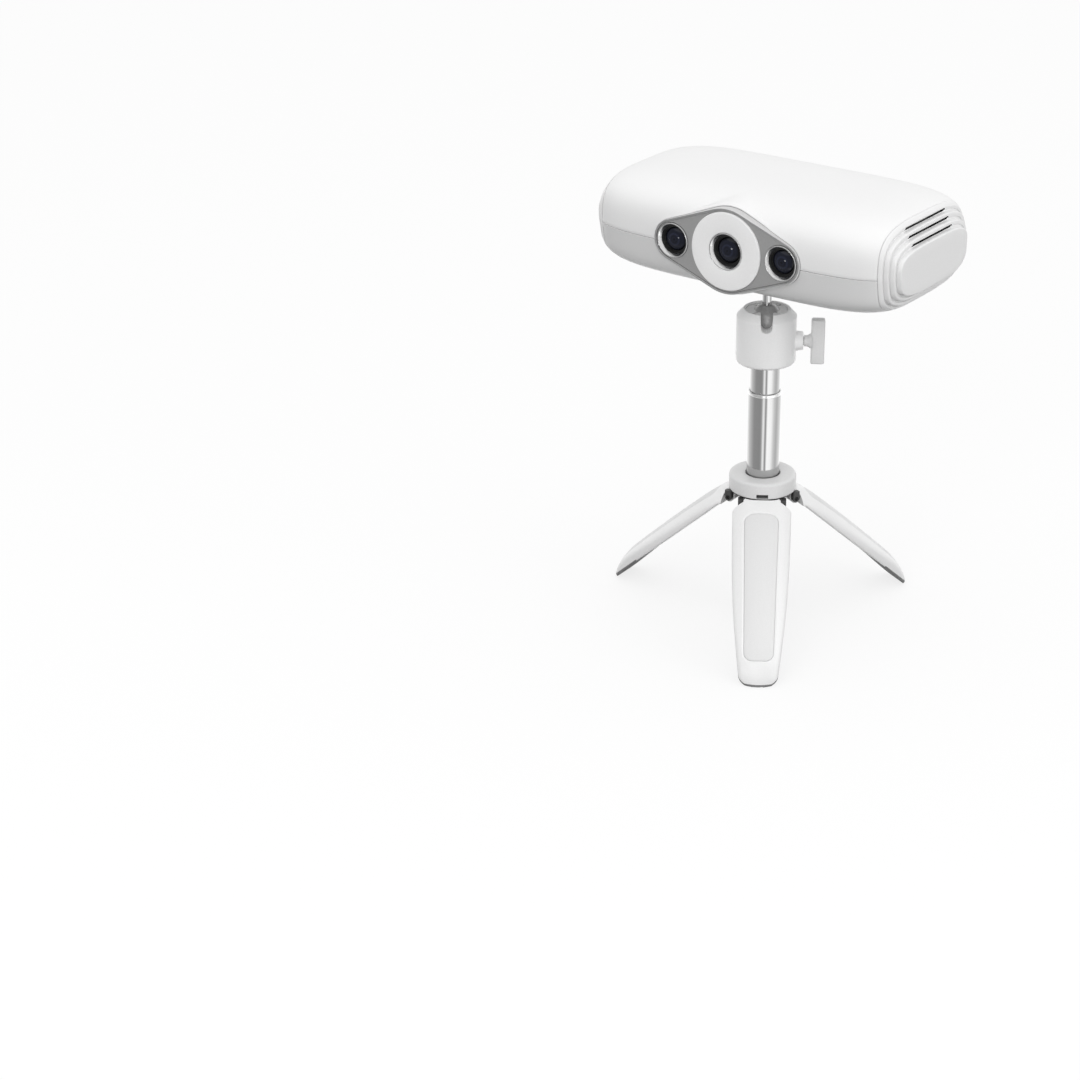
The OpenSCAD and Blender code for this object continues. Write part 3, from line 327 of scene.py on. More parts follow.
def leg_section(z, half_width=None):
    """Half a cross-section of a folded leg, from the middle of its inner face to the middle of its outside."""
    r, inner = reading(grip_radii, z), leg_inner(z)
    w = leg_half_width(z) if half_width is None else half_width
    w = min(w, math.sqrt(max(r * r - (inner + 0.6) ** 2, 0.01)))
    edge = math.sqrt(r * r - w * w)
    turn_in = min(0.35, (edge - inner) * 0.3)
    turn_out = min(1.3, (edge - inner) * 0.6)
    half = [(inner, w * t) for t in (0, 0.35, 0.7)]
    half += [(inner, w - turn_in), (inner + turn_in * 0.3, w - turn_in * 0.3), (inner + turn_in, w)]
    top = Vector((math.sqrt(r * r - (w - turn_out) ** 2), w - turn_out))
    low, corner = Vector((edge - turn_out, w)), Vector((edge, w))
    half.append((inner + turn_in + (low.x - inner - turn_in) * 0.5, w))
    for t in (0, 0.17, 0.34, 0.5, 0.66, 0.83, 1):
        half.append(tuple(low * (1 - t) ** 2 + corner * 2 * t * (1 - t) + top * t * t))
    for i in range(1, 15):
        y = (w - turn_out) * (1 - i / 14)
        half.append((math.sqrt(r * r - y * y), y))
    return half


def leg_ring(z0, lean, half_width=None):
    """A whole cross-section that leans over towards the floor's slope."""
    half, half_count, rounds = [], 28, 8 if lean else 1
    for i in range(half_count):
        x, y, z = 13.0, 0.0, z0
        for _ in range(rounds):
            z = z0 - (x - hinge_out) * floor_slope * lean
            x, y = leg_section(z, half_width)[i]
        half.append((x, y, z))
    return half + [(x, -y, z) for x, y, z in half[-2:0:-1]]


def rod(r, low, high, turns):
    """Points and faces of a plain round rod on the axis."""
    return lathe([(0, low), (r, low), (r, high), (0, high)], turns)


floor_gap, lean_from = 0.03, -57
leg_floor = -hinge_up / math.cos(leg_spread) + floor_gap
leg_rings = [leg_ring(z, 0, neck_half) for z in (2.17, 2.0, 1.7, 1.4, 1.01)]
for degrees in (90, 82, 74, 66, 58, 50, 42, 34, 26, 18, 9, 0):
    a = math.radians(degrees)
    z, half_width = shoulder_up + shoulder_r * math.sin(a), shoulder_mid + shoulder_r * math.cos(a)
    leg_rings.append(leg_ring(z, 0, half_width))
leg_rings += [leg_ring(-3.6 - 1.6 * i, 0) for i in range(34)]
leg_rings += [leg_ring(lean_from + (leg_floor - lean_from) * t, t * t) for t in [i / 26 for i in range(27)]]
leg = piece("leg_blank", loft(leg_rings))
swing = (Matrix.Translation((hinge_out, 0, hinge_up)) @ Matrix.Rotation(-leg_spread, 4, "Y")
         @ Matrix.Translation((-hinge_out, 0, 0)))
yoke_room, yoke_room_low, collar_room_low, room_r = 15.05, 61.0, 62.4, 15.6
collar_room = [(0, yoke_room_low), (yoke_room, yoke_room_low), (yoke_room, collar_room_low),
               (room_r, collar_room_low), (room_r, 82), (0, 82)]
carve(leg, piece("collar_room", lathe(collar_room), swing.inverted()))
for side in (-1, 1):
    low, high = sorted((side * neck_half, side * 30))
    carve(leg, piece("lug_room", block((-14.1, low, 30), (14.1, high, 88)), swing.inverted()))
pin_bore = Matrix.Translation((hinge_out, 0, 0)) @ Matrix.Rotation(math.pi / 2, 4, "X")
pin_fit = 1.08
carve(leg, piece("pin_bore", rod(pin_fit, -20, 20, 32), pin_bore))


def inlay_outline(grow):
    """The outline of an inlay panel on a folded leg, as (y, z)."""
    top, foot, r, top_half, foot_half = -6.8, -77.2, 4.0, 7.6, 6.55
    turned = []
    for y, z, first in ((top_half - r, top - r, 0), (r - top_half, top - r, 90),
                        (r - foot_half, foot + r, 180), (foot_half - r, foot + r, 270)):
        turned += [(y + (r + grow) * math.cos(a), z + (r + grow) * math.sin(a))
                   for a in (math.radians(first + 90 * i / 8) for i in range(9))]
    dense = []
    for (y0, z0), (y1, z1) in zip(turned, turned[1:] + turned[:1]):
        n = max(1, round(math.hypot(y1 - y0, z1 - z0) / 2))
        dense += [(y0 + (y1 - y0) * i / n, z0 + (z1 - z0) * i / n) for i in range(n)]
    return dense


def panel(layers):
    """A curved slab on the grip from layers of (outline, share of its width, depth under the grip)."""
    spine_low, spine_high = -72.2, -11.8
    rings = []
    for outline, share, depth in layers:
        ring = []
        for y, z in outline:
            spine = min(max(z, spine_low), spine_high)
            y, z = y * share, spine + (z - spine) * share
            r = reading(grip_radii, z) - depth
            ring.append((math.sqrt(r * r - y * y), y, z))
        rings.append(ring)
    return loft(rings, "open")


bed, slope, lip, clear = inlay_outline(0.1), inlay_outline(0.3), inlay_outline(0.95), inlay_outline(1.4)
bed_depth = 1.05
bed_layers = [(bed, share, bed_depth) for share in (0, 0.5, 1)]
bed_layers += [(bed, 1, 0.5), (slope, 1, 0.36), (lip, 1, -0.02)]
bed_layers += [(clear, 1, -0.4), (clear, 0.5, -0.9), (clear, 0, -0.9)]
carve(leg, piece("bed_tool", panel(bed_layers)))
pad_side = [(8, -67.24), (12.4, -67.24), (12.4, -86.11), (24, -98.9), (24, -110), (8, -110)]
pad_room = loft([[(x, y, z) for x, z in pad_side] for y in (-25, 25)])
foot = add("foot_blank", leg.data.copy())
pad_tool = piece("pad_tool", pad_room)
carve(foot, pad_tool, "INTERSECT", keep=True)
carve(leg, pad_tool)
flank, front, turn = inlay_outline(0.0), inlay_outline(-0.3), inlay_outline(-0.12)
sunk = 0.25
inlay_layers = [(front, share, sunk) for share in (0, 0.3, 0.6, 0.85, 1)]
inlay_layers += [(turn, 1, 0.3), (flank, 1, 0.45)] + [(flank, share, bed_depth) for share in (1, 0.5, 0)]
inlay = piece("inlay_blank", panel(inlay_layers))
leg_white = finish("leg_plastic", shade(0.925), shade(0.94), 0.38, grain=0.6, relief=0.008,
                   Coat_Weight=0.2, Coat_Roughness=0.2)
inlay_grey = finish("inlay_plastic", shade(0.865), shade(0.885), 0.5, grain=0.35, relief=0.02)
foot_rubber = finish("foot_rubber", shade(0.44), shade(0.52), 0.7, grain=0.3, relief=0.03)
leg_parts = ((leg, "leg", "leg_white", leg_white), (inlay, "inlay", "inlay_grey", inlay_grey),
             (foot, "foot", "foot_rubber", foot_rubber))
for k, name in enumerate(("front", "right", "left")):
    open_place = millimetres @ leg_turn(k) @ swing @ millimetres.inverted()
    for blank, part, slot, material in leg_parts:
        thing = add(f"{name}_{part}_moulding", blank.data.copy())
        thing.data.transform(open_place)
        fit(thing, f"{name}_leg_part", f"{name}_{part}", material)
for blank in (leg, inlay, foot):
    bpy.data.objects.remove(blank)

# The column is two thin steel tubes, polished and chromed, that slide in each other and in the sleeve.
# Each runs on a black bush at its foot, and a turned lip ring closes the mouth of the lower one.
chrome = finish("chrome", shade(0.75), shade(0.765), 0.07, drift=0.015, grain=3, metal=1.0, stretch=(1, 1, 0.2))


def tube(name, r_out, r_in, low, high, edge):
    """A turned tube with its edges broken."""
    profile = soft([(r_in, low, 0), (r_out, low, edge), (r_out, high, edge), (r_in, high, edge)], 3)
    return piece(name, lathe(profile, 160))


lower_low, lower_top, lip_top, upper_low, upper_top = 55.5, 109, 110.5, 72.85, 124.35
lower_tube = tube("lower_column_tube", 7.45, 6.85, lower_low, lower_top, 0.1)
fit(lower_tube, "lower_column", "lower_tube", chrome)
lip_chrome = finish("lip_chrome", shade(0.93), shade(0.95), 0.14, drift=0.02, grain=2, metal=1.0)
lip_ring = tube("column_lip_ring", 7.7, 6.78, lower_top, lip_top, 0.3)
fit(lip_ring, "lower_column", "lip_ring", lip_chrome)
upper_tube = tube("upper_column_tube", 6.7, 6.1, upper_low, upper_top, 0.1)
fit(upper_tube, "upper_column", "upper_tube", chrome)
dress("lower_bush", black_plastic_and_vent_shade)
dress("upper_bush", black_plastic_and_vent_shade)

# The ball housing is a white moulding on top of the upper tube, with a side boss for the clamp screw
# and a U notch that lets the stud swing down. A turned plug joins it to the tube.
dress("tube_plug", aluminium)
clamp_up, ball_up = 134.2, 144.4
clamp = stand @ Matrix.Translation((0, 0, clamp_up)) @ Matrix.Rotation(math.pi / 2, 4, "Y")
housing_r, housing_top, chamfer_low, mouth_r, seat_floor = 13.45, 149.3, 146.1, 9.4, 136.6
plug_fit, plug_top = 3.1, 129.85
housing_profile = soft([(plug_fit, upper_top, 0), (housing_r, upper_top, 1.6), (housing_r, chamfer_low, 1.0),
                        (10.4, housing_top, 0.35), (mouth_r, housing_top, 0.3), (mouth_r, seat_floor, 0),
                        (0, seat_floor, 0), (0, plug_top, 0), (plug_fit, plug_top, 0)])
housing = piece("ball_housing_moulding", lathe(housing_profile, 160))
boss_root, boss_end = 11.45, 16.45
boss_profile = soft([(0, boss_root, 0), (4.9, boss_root, 0), (4.0, boss_end, 0.5), (0, boss_end, 0)])
carve(housing, piece("boss", lathe(boss_profile, 64), clamp), "UNION")
shoe_fit, shoe_reach, screw_fit = 2.55, 6.3, 2.08
clamp_bore = [(0, -shoe_reach), (shoe_fit, -shoe_reach), (shoe_fit, shoe_reach), (screw_fit, shoe_reach),
              (screw_fit, 20), (0, 20)]
carve(housing, piece("clamp_bore", lathe(clamp_bore, 48), clamp))


def notch_tool(name, flare):
    """The U of the notch, run out towards the front of the stand, flared where it breaks the surface."""
    notch_r, mouth_half, above = 2.45, 2.9, 150.5
    rings = []
    for y, grow in ((0, 0), (-12.95, 0), (-13.7, flare), (-16, flare)):
        r = notch_r + grow
        turned = [(r * math.cos(a), ball_up + r * math.sin(a))
                  for a in (math.radians(180 + 12 * i) for i in range(16))]
        turned += [(mouth_half + grow, above), (-mouth_half - grow, above)]
        rings.append([(x, y, z) for x, z in turned])
    return piece(name, loft(rings), stand)


carve(housing, notch_tool("notch_tool", 0.6))
housing_white = finish("housing_plastic", shade(0.955), shade(0.97), 0.36, grain=0.6, relief=0.008,
                       Coat_Weight=0.25, Coat_Roughness=0.18)
fit(housing, "upper_column", "ball_housing", housing_white)

# The ball runs in a slit seat of grey nylon inside the housing. The ball is polished steel, and the
# stud is screwed into it: a slim neck, a flange under the head, and a thread that goes into the head.
ball_r = 7


def arc(r, middle, first, last, steps):
    """Points of a profile on a sphere, between two angles over the level."""
    return [(r * math.cos(a), middle + r * math.sin(a))
            for a in (math.radians(first + (last - first) * i / steps) for i in range(steps + 1))]


seat_r, seat_top, seat_way = 9.3, 148.8, 3.5
seat_brow = soft([(seat_r, seat_floor + 0.1, 0), (seat_r, seat_top, 0.4), (5.6, seat_top, 0)])[1:-1]
seat_hollow = arc(ball_r + 0.1, ball_up, 38.3, -60.5, 24)
seat_profile = [(seat_way, seat_floor), (seat_r, seat_floor)] + seat_brow + seat_hollow
seat = piece("ball_seat_nylon", lathe(seat_profile, 128))
slit_half, slit_low = 0.5, 142.4
for k in range(4):
    turned = stand @ Matrix.Rotation(math.radians(45 + 90 * k), 4, "Z")
    carve(seat, piece("slit_tool", block((seat_way, -slit_half, slit_low), (12, slit_half, 152)), turned))
carve(seat, notch_tool("notch_tool", 0))
seat_grey = finish("seat_nylon", shade(0.94), shade(0.965), 0.5, grain=0.5, relief=0.02)
fit(seat, "upper_column", "ball_seat", seat_grey)
ball_profile = arc(ball_r, ball_up, -90, 90, 48)
ball_profile[0], ball_profile[-1] = (0, ball_up - ball_r), (0, ball_up + ball_r)
ball = piece("ball_steel", lathe(ball_profile, 96))
polished = finish("polished_steel", shade(0.66), shade(0.71), 0.32, grain=0.5, relief=0.003, metal=0.5)
fit(ball, "ball_part", "ball", polished)
stud_r, flange_r, flange_low, flange_top = 2.15, 5.5, 159.85, 161.85
thread_root, thread_crest, pitch = 2.75, 3.17, 1.27
stud_profile = [(0, 151.48), (1.1, 151.4), (stud_r, 151.15), (stud_r, 158.2), (2.3, 159.0),
                (2.7, 159.6), (3.2, flange_low)]
stud_profile += soft([(3.3, flange_low, 0), (flange_r, flange_low, 0.3), (flange_r, flange_top, 0.2),
                      (thread_crest, flange_top, 0)])[1:-1]
for i in range(5):
    up = flange_top + pitch * i
    stud_profile += [(thread_root, up + 0.1), (thread_crest, up + 0.65), (thread_crest, up + 0.8)]
stud_profile += [(thread_root, 168.33), (0, 168.35)]
fit(piece("ball_stud_turned", lathe(stud_profile, 64)), "stud_part", "ball_stud", chrome)

# The clamp knob is a grey T-bar moulded onto the end of the steel clamp screw.
# The screw carries a tapered shoe on its inner end that wedges the seat up against the ball.
bar_near, bar_far, bar_half, bar_round = 19.85, 25.95, 2.5, 0.95
bar_end = [(10.3, 0.6), (10.23, 0.3), (10.05, 0.1), (9.75, 0), (5, 0)]


def rounded(x0, x1, y0, y1, r, steps=5):
    """The outline of a rectangle with rounded corners."""
    return soft([(x0, y0, r), (x1, y0, r), (x1, y1, r), (x0, y1, r)], steps)


bar_rings = []
for up, inset in [(-up, inset) for up, inset in bar_end] + [(0, 0)] + bar_end[::-1]:
    x0, x1, y = bar_near + inset, bar_far - inset, bar_half - inset
    r = bar_round - inset * 0.5
    bar_rings.append([(px, py, clamp_up + up) for px, py in rounded(x0, x1, -y, y, r)])
knob = piece("clamp_knob_bar", loft(bar_rings), stand)
stem_r, stem_near, stem_far = 2.55, 16.75, 20.4
stem = soft([(0, stem_near, 0), (stem_r, stem_near, 0.15), (stem_r, 18.3, 1.2), (3.9, stem_far, 0),
             (0, stem_far, 0)])
carve(knob, piece("knob_neck", lathe(stem, 64), clamp), "UNION")
bore_r, bore_end = 2.1, 22.9
carve(knob, piece("knob_bore", rod(bore_r, 15, bore_end, 48), clamp))
knob_grey = finish("knob_plastic", shade(0.89), shade(0.91), 0.42, grain=0.5, relief=0.012,
                   Coat_Weight=0.15, Coat_Roughness=0.25)
fit(knob, "knob_part", "clamp_knob", knob_grey)
dress("clamp_screw", steel)
dress("clamp_shoe", aluminium)

# The head's body is two white shells, moulded with a fine satin skin, that meet at a parting line just
# below the middle of the lenses. Four screws from below draw them together, and a brass insert,
# pressed into a boss of the lower shell, takes the stud's thread.
head = Matrix.Translation((0, 8.5, 185))
head_half_l, head_half_d, head_half_h = 77.5, 42.5, 23.0
plan_power, section_power = 5.2, 3.5
seam, parting, wall, front_slope = 70.0, -1.5, 2.2, math.tan(math.radians(11))


def head_share(x):
    """The share of the head's full depth and height at a place along it."""
    return (1 - (abs(x) / head_half_l) ** plan_power) ** (1 / plan_power)


def spaced(line, count):
    """Points at even steps along a line of many points."""
    way = [0.0]
    for p, q in zip(line, line[1:]):
        way.append(way[-1] + math.dist(p, q))
    even, k = [], 0
    for i in range(count + 1):
        goal = way[-1] * i / count
        while k < len(way) - 2 and way[k + 1] < goal:
            k += 1
        t = (goal - way[k]) / (way[k + 1] - way[k])
        even.append(tuple(u + (v - u) * t for u, v in zip(line[k], line[k + 1])))
    return even


def section(half_d, half_h, first, sweep, count, slope):
    """A stretch of the head's cross-section as (depth, height). Its front slopes in below the parting line."""
    line, fine, ease = [], 1440, 0.15
    for i in range(fine + 1):
        a = first + sweep * i / fine
        c, s = math.cos(a), math.sin(a)
        y = -half_d * math.copysign(abs(c) ** (2 / section_power), c)
        z = half_h * math.copysign(abs(s) ** (2 / section_power), s)
        drop = parting - z
        if slope and y < 0 < drop:
            limit, reach = half_d - slope * drop, ease * drop
            blend = max(1 - abs(limit + y) / reach, 0)
            y = reach * blend ** 2 / 4 - min(limit, -y)
        line.append((y, z))
    return spaced(line, count)


def half_section(half_d, half_h, sign, edge, slope):
    """The part of a cross-section above or below the parting line, from front to back."""
    cut = (parting + sign * edge) / half_h
    first = math.asin(math.copysign(abs(cut) ** (section_power / 2), cut))
    return section(half_d, half_h, first, sign * math.pi - 2 * first, 72, slope)


def half_shell(sign):
    """A hollow half of the body between the end caps, with its outer edges broken at the seams."""
    groove = [(1.0, 0), (0.9, 0.13), (0.2, 0.13), (0.06, 0.17)]
    breaks, spans = {0: 0.25, 1: 0.07}, 56
    places = [seam * math.sin(math.pi / 2 * (2 * i / spans - 1)) for i in range(spans + 1)]
    places = [-seam, -seam + 0.12, -seam + 0.25] + places[3:-3] + [seam - 0.25, seam - 0.12, seam]
    rings = []
    for i, x in enumerate(places):
        broken = breaks.get(min(i, len(places) - 1 - i), 0)
        d, h = head_half_d * head_share(x) - broken, head_half_h * head_share(x) - broken
        outer = half_section(d, h, sign, 0.28, front_slope)
        front, back = outer[0][0], outer[-1][0]
        outer = [(front + deep, parting + sign * up) for deep, up in groove] + outer
        outer += [(back - deep, parting + sign * up) for deep, up in groove[::-1]]
        inner = half_section(d + broken - wall, h + broken - wall, sign, 0, 0)
        rings.append([(x, y, z) for y, z in outer + inner[::-1]])
    points, faces = loft(rings, "open")
    n, edge = len(rings[0]), len(outer)
    for start in (0, len(points) - n):
        i, k = 0, n - 1
        while i < edge - 1 or k > edge:
            if k == edge or (i < edge - 1 and i * (n - edge - 1) <= (n - 1 - k) * (edge - 1)):
                faces.append((start + i, start + i + 1, start + k))
                i += 1
            else:
                faces.append((start + i, start + k - 1, start + k))
                k -= 1
    return points, faces


lens_apart, side_round, middle_round = 27.45, 9.45, 19.1
tilt = math.acos((middle_round - side_round) / lens_apart)


def plate_outline(grow):
    """The outline of the faceplate: a big round about the middle lens and two small ones at the sides."""
    outline = []
    for x, r, first, last, steps in ((lens_apart, side_round, -tilt, tilt, 24),
                                     (0, middle_round, tilt, math.pi - tilt, 20),
                                     (-lens_apart, side_round, math.pi - tilt, math.pi + tilt, 24),
                                     (0, middle_round, math.pi + tilt, 2 * math.pi - tilt, 20)):
        for i in range(steps + 1):
            a = first + (last - first) * i / steps
            outline.append((x + (r + grow) * math.cos(a), (r + grow) * math.sin(a)))
    return outline


def post(x, y, r, low, high):
    """A round post or bore that stands upright in the head."""
    return piece("post", rod(r, low, high, 40), head @ Matrix.Translation((x, y, 0)))


def shell_front(x, z):
    """How far forward the outside of the shells stands at a place on the head's front."""
    share = head_share(x)
    depth = max(1 - abs(z / head_half_h / share) ** section_power, 0) ** (1 / section_power)
    return max(-head_half_d * share * depth, front_slope * max(parting - z, 0) - head_half_d * share)


hood = [(0.12, -39.4), (0.5, -39.4), (0.85, -39.15), (1.15, -38.5), (1.4, -37.2), (1.7, -35), (2.1, -31),
        (2.6, -27), (3.1, -22)]


def hood_shape():
    """The raised edge of the shells round the faceplate, from inside their wall out to its rounded brim."""
    under, root, rings = 0.8, 1.4, []
    for grow, y in hood:
        rings.append([(x, min(y, shell_front(x, z) + under), z) for x, z in plate_outline(grow)])
    for grow, _ in hood[::-1]:
        rings.append([(x, shell_front(x, z) + root, z) for x, z in plate_outline(grow)])
    return loft(rings, "loop")


screw_places = [(x, y) for x in (-58, 58) for y in (-20, 20)]
post_r, post_end, screw_head, screw_way = 4, 18.6, 2.5, 1.35
insert_y, insert_wall, insert_fit = -8.5, 7.255, 4.855
usb_x, usb_half, usb_low, usb_high, jack_x, jack_r = -14, 4.8, -7.3, -3.5, 14, 3.9
# The lower shell takes a darker grey than the upper one: painted shade for the half that faces down.
for sign, name, tone in ((1, "upper_shell", 0.93), (-1, "lower_shell", 0.88)):
    shell_white = finish(name + "_plastic", shade(tone), shade(tone + 0.01), 0.42, grain=0.35, relief=0.012,
                         Coat_Weight=0.12, Coat_Roughness=0.3)
    shell = piece(name + "_moulding", half_shell(sign), head)
    brim = piece("brim", hood_shape(), head)
    half = sorted((parting + sign * 0.3, sign * 40))
    carve(brim, piece("half_space", block((-60, -60, half[0]), (60, 20, half[1])), head), "INTERSECT")
    carve(shell, brim, "UNION")
    for x, y in screw_places:
        carve(shell, post(x, y, post_r, *sorted((parting, sign * post_end))), "UNION")
    if sign < 0:
        carve(shell, post(0, insert_y, insert_wall, -21.9, -14.4), "UNION")
    opening = [[(x, y, z) for x, z in plate_outline(0.1)] for y in (-32.9, -60)]
    carve(shell, piece("opening", loft(opening), head))
    usb_mouth = block((usb_x - usb_half, 30, usb_low), (usb_x + usb_half, 50, usb_high))
    carve(shell, piece("usb_mouth", usb_mouth, head))
    jack_place = head @ Matrix.Translation((jack_x, 45, parting)) @ Matrix.Rotation(math.pi / 2, 4, "X")
    carve(shell, piece("jack_bore", rod(jack_r, 0, 9, 48), jack_place))
    for x, y in screw_places:
        if sign < 0:
            carve(shell, post(x, y, screw_head, -40, -12.5))
            carve(shell, post(x, y, screw_way, -13, 5))
        else:
            carve(shell, post(x, y, screw_way, -5, 7))
    if sign < 0:
        carve(shell, post(0, insert_y, insert_fit, -40, -10))
    fit(shell, "scanner_head", name, shell_white)
dress("shell_screws", steel)
brass_tint = (1, 0.86, 0.55)
brass = finish("turned_brass", shade(0.80, brass_tint), shade(0.86, brass_tint), 0.3, grain=0.4, metal=1.0)
dress("tripod_insert", brass)

# Each end of the head is closed by a white cap that steps in, tier by tier, to a flat end plate.
# Its skirt plugs into the shells, and three long vent slots open in the risers of its upper side. The slot
# walls and the cap's inside are painted black as painted shade.
cap_white = finish("cap_plastic", shade(0.92), shade(0.935), 0.42, grain=0.35, relief=0.012,
                   Coat_Weight=0.12, Coat_Roughness=0.3)
seam_d, seam_h = head_half_d * head_share(seam), head_half_h * head_share(seam)
tier_profile = soft([(77.5, 10.15, 0), (77.5, 7.15, 0.6), (75, 7.15, 0.15), (75, 6.4, 0.15), (75.625, 6.2, 0.3),
                     (75.625, 4.8, 0.6), (73.125, 4.8, 0.15), (73.125, 4.05, 0.15), (73.75, 3.85, 0.3),
                     (73.75, 2.45, 0.6), (71.25, 2.45, 0.15), (71.25, 1.9, 0.1), (71.875, 1.75, 0.2),
                     (71.875, 1.15, 0.35), (71, 0.5, 0.8), (70.22, 0.1, 0.1), (70.22, 2.3, 0.1),
                     (66, 2.3, 0.2), (66, 3.9, 0.1), (70.275, 3.9, 0.1), (70.275, 4.05, 0), (72.15, 4.05, 0.1),
                     (72.15, 6.4, 0.1), (74.025, 6.4, 0.1), (74.025, 8.75, 0.1), (75.9, 8.75, 0.1),
                     (75.9, 11.75, 0)], 4)
skirt_end, first_inset, first_drop, tier_drop = 70.3, 2.45, 4.1, 3.25
first_rate, tier_rate = 1.702, 1.383
tier_tops = [seam_h - first_drop - tier_drop * k for k in range(3)]
vent_half, vent_low, vent_high, vent_round = 17, 0.15, 1.6, 0.6


def top_inset(x, inset):
    """How far the top of a tier steps in, which is more than its sides do."""
    if x <= skirt_end:
        return inset
    if inset > first_inset:
        return first_drop + (inset - first_inset) * tier_rate
    return 0.1 + (inset - 0.1) * first_rate


for side, name in ((-1, "left_end_cap"), (1, "right_end_cap")):
    rings = []
    for x, inset in tier_profile:
        ring = section(seam_d - inset, seam_h - inset, 0, 2 * math.pi, 144, front_slope if x > seam else 0)[:-1]
        lower = (seam_h - top_inset(x, inset)) / (seam_h - inset)
        rings.append([(side * x, y, z * (lower if z > 0 else 1)) for y, z in ring])
    cap = piece(name + "_moulding", loft(rings), head)
    for top in tier_tops:
        outline = rounded(-vent_half, vent_half, top + vent_low, top + vent_high, vent_round, 4)
        slot_tool = loft([[(x, y, z) for y, z in outline] for x in (side * 69.5, side * 80)])
        carve(cap, piece("slot_tool", slot_tool, head))
    fit(cap, "scanner_head", name, cap_white)
    # The vent walls and the inside of the cap are painted black: painted shade in the slots and the hollow.
    cap.data.materials.append(black_plastic_and_vent_shade)
    for face in cap.data.polygons:
        away = face.center * 1000 - head.translation
        in_height = any(vent_low - 0.05 < away.z - top < vent_high + 0.05 for top in tier_tops)
        in_vent = in_height and abs(away.y) < vent_half + 0.02 and abs(face.normal.x) < 0.5
        inward = face.normal.y * away.y + face.normal.z * away.z < -1 and face.normal.x * side < 0.1
        inside = abs(away.x) > seam + 0.5 and (inward or face.normal.x * side < -0.9)
        face.material_index = 1 if in_vent or inside else 0

# The faceplate is a grey satin plate in a bright bevelled rim, set into the front of both shells.
# Three bores take the lenses, and a wide pocket round the middle one takes the ring light.
rim_wide, rim_back, rim_front = 0.95, -33.5, -43.4
rim_section = soft([(0, rim_back, 0), (0, rim_front, 0.3), (rim_wide, rim_front, 0.15),
                    (rim_wide, rim_back, 0)], 4)
rim_rings = [[(x, y, z) for x, z in plate_outline(-inset)] for inset, y in rim_section]
rim = piece("faceplate_bright_rim", loft(rim_rings, "loop"), head)
rim_bright = finish("rim_plating", shade(0.82), shade(0.86), 0.32, drift=0.04, grain=0.5, metal=1.0)
fit(rim, "scanner_head", "faceplate_rim", rim_bright)
plate_rings = [[(x, y, z) for x, z in plate_outline(-1.05 - inset)]
               for inset, y in ((0.2, -36.4), (0, -36.6), (0, -42.75), (0.05, -42.86), (0.15, -42.9))]
plate = piece("faceplate_satin", loft(plate_rings), head)


def lens_axis(x):
    """The frame of a lens: its own z runs forward, out of the head."""
    return head @ Matrix.Translation((x, 0, 0)) @ Matrix.Rotation(math.pi / 2, 4, "X")


pocket_r, middle_fit, side_fit = 17.5, 8.35, 7.9
ring_pocket = lathe([(0, 38.4), (pocket_r, 38.4), (pocket_r, 42.8), (pocket_r + 0.15, 43), (0, 43)], 128)
carve(plate, piece("ring_pocket", ring_pocket, lens_axis(0)))
carve(plate, piece("middle_bore", rod(middle_fit, 30, 43, 96), lens_axis(0)))
for x in (-lens_apart, lens_apart):
    side_bore = lathe([(0, 30), (side_fit, 30), (side_fit, 42.75), (side_fit + 0.2, 43), (0, 43)], 96)
    carve(plate, piece("side_bore", side_bore, lens_axis(x)))
plate_grey = finish("faceplate_satin", shade(0.635), shade(0.665), 0.4, grain=0.3, relief=0.01, metal=0.2)
fit(plate, "scanner_head", "faceplate", plate_grey)

# The ring light is a white diffuser, a ring moulded in opal plastic and pressed into the plate's pocket.
# Behind it a ring of small lamps is soldered to a round board.
ring_back, ring_inside, ring_front, ring_out = 39.4, 41.7, 43.5, 17.4
diffuser_profile = soft([(middle_fit, ring_back, 0), (middle_fit, ring_front, 0.35),
                         (ring_out, ring_front, 0.5), (ring_out, ring_back, 0),
                         (ring_out - 1, ring_back, 0), (ring_out - 1, ring_inside, 0),
                         (middle_fit + 1, ring_inside, 0), (middle_fit + 1, ring_back, 0)])
diffuser = piece("ring_light_diffuser", lathe(diffuser_profile, 160), lens_axis(0))
opal = finish("opal_plastic", shade(0.965), shade(0.975), 0.34, grain=0.8, relief=0.006,
              Subsurface_Weight=0.15, Subsurface_Radius=[0.0015] * 3, Coat_Weight=0.2)
fit(diffuser, "scanner_head", "ring_diffuser", opal)
green = (0.5, 1, 0.6)
board_green = finish("circuit_board", shade(0.22, green), shade(0.30, green), 0.4, grain=1.2, relief=0.03)
lamp_yellow = finish("lamp_phosphor", shade(0.85, (1, 0.95, 0.5)), shade(0.92, (1, 0.95, 0.6)), 0.45, grain=0.3)
dress("ring_board", board_green)
dress("ring_leds", lamp_yellow)

# Each lens is a domed, coated glass in a ridged black barrel, behind a turned and chromed bezel.
# The two side ones carry a camera body behind the plate, the middle one the light engine's optics.
bezel_chrome = finish("bezel_chrome", shade(0.82), shade(0.87), 0.17, drift=0.03, grain=0.4, metal=1.0)
barrel_black = finish("barrel_black", shade(0.055), shade(0.085), 0.4, grain=0.4, relief=0.01)


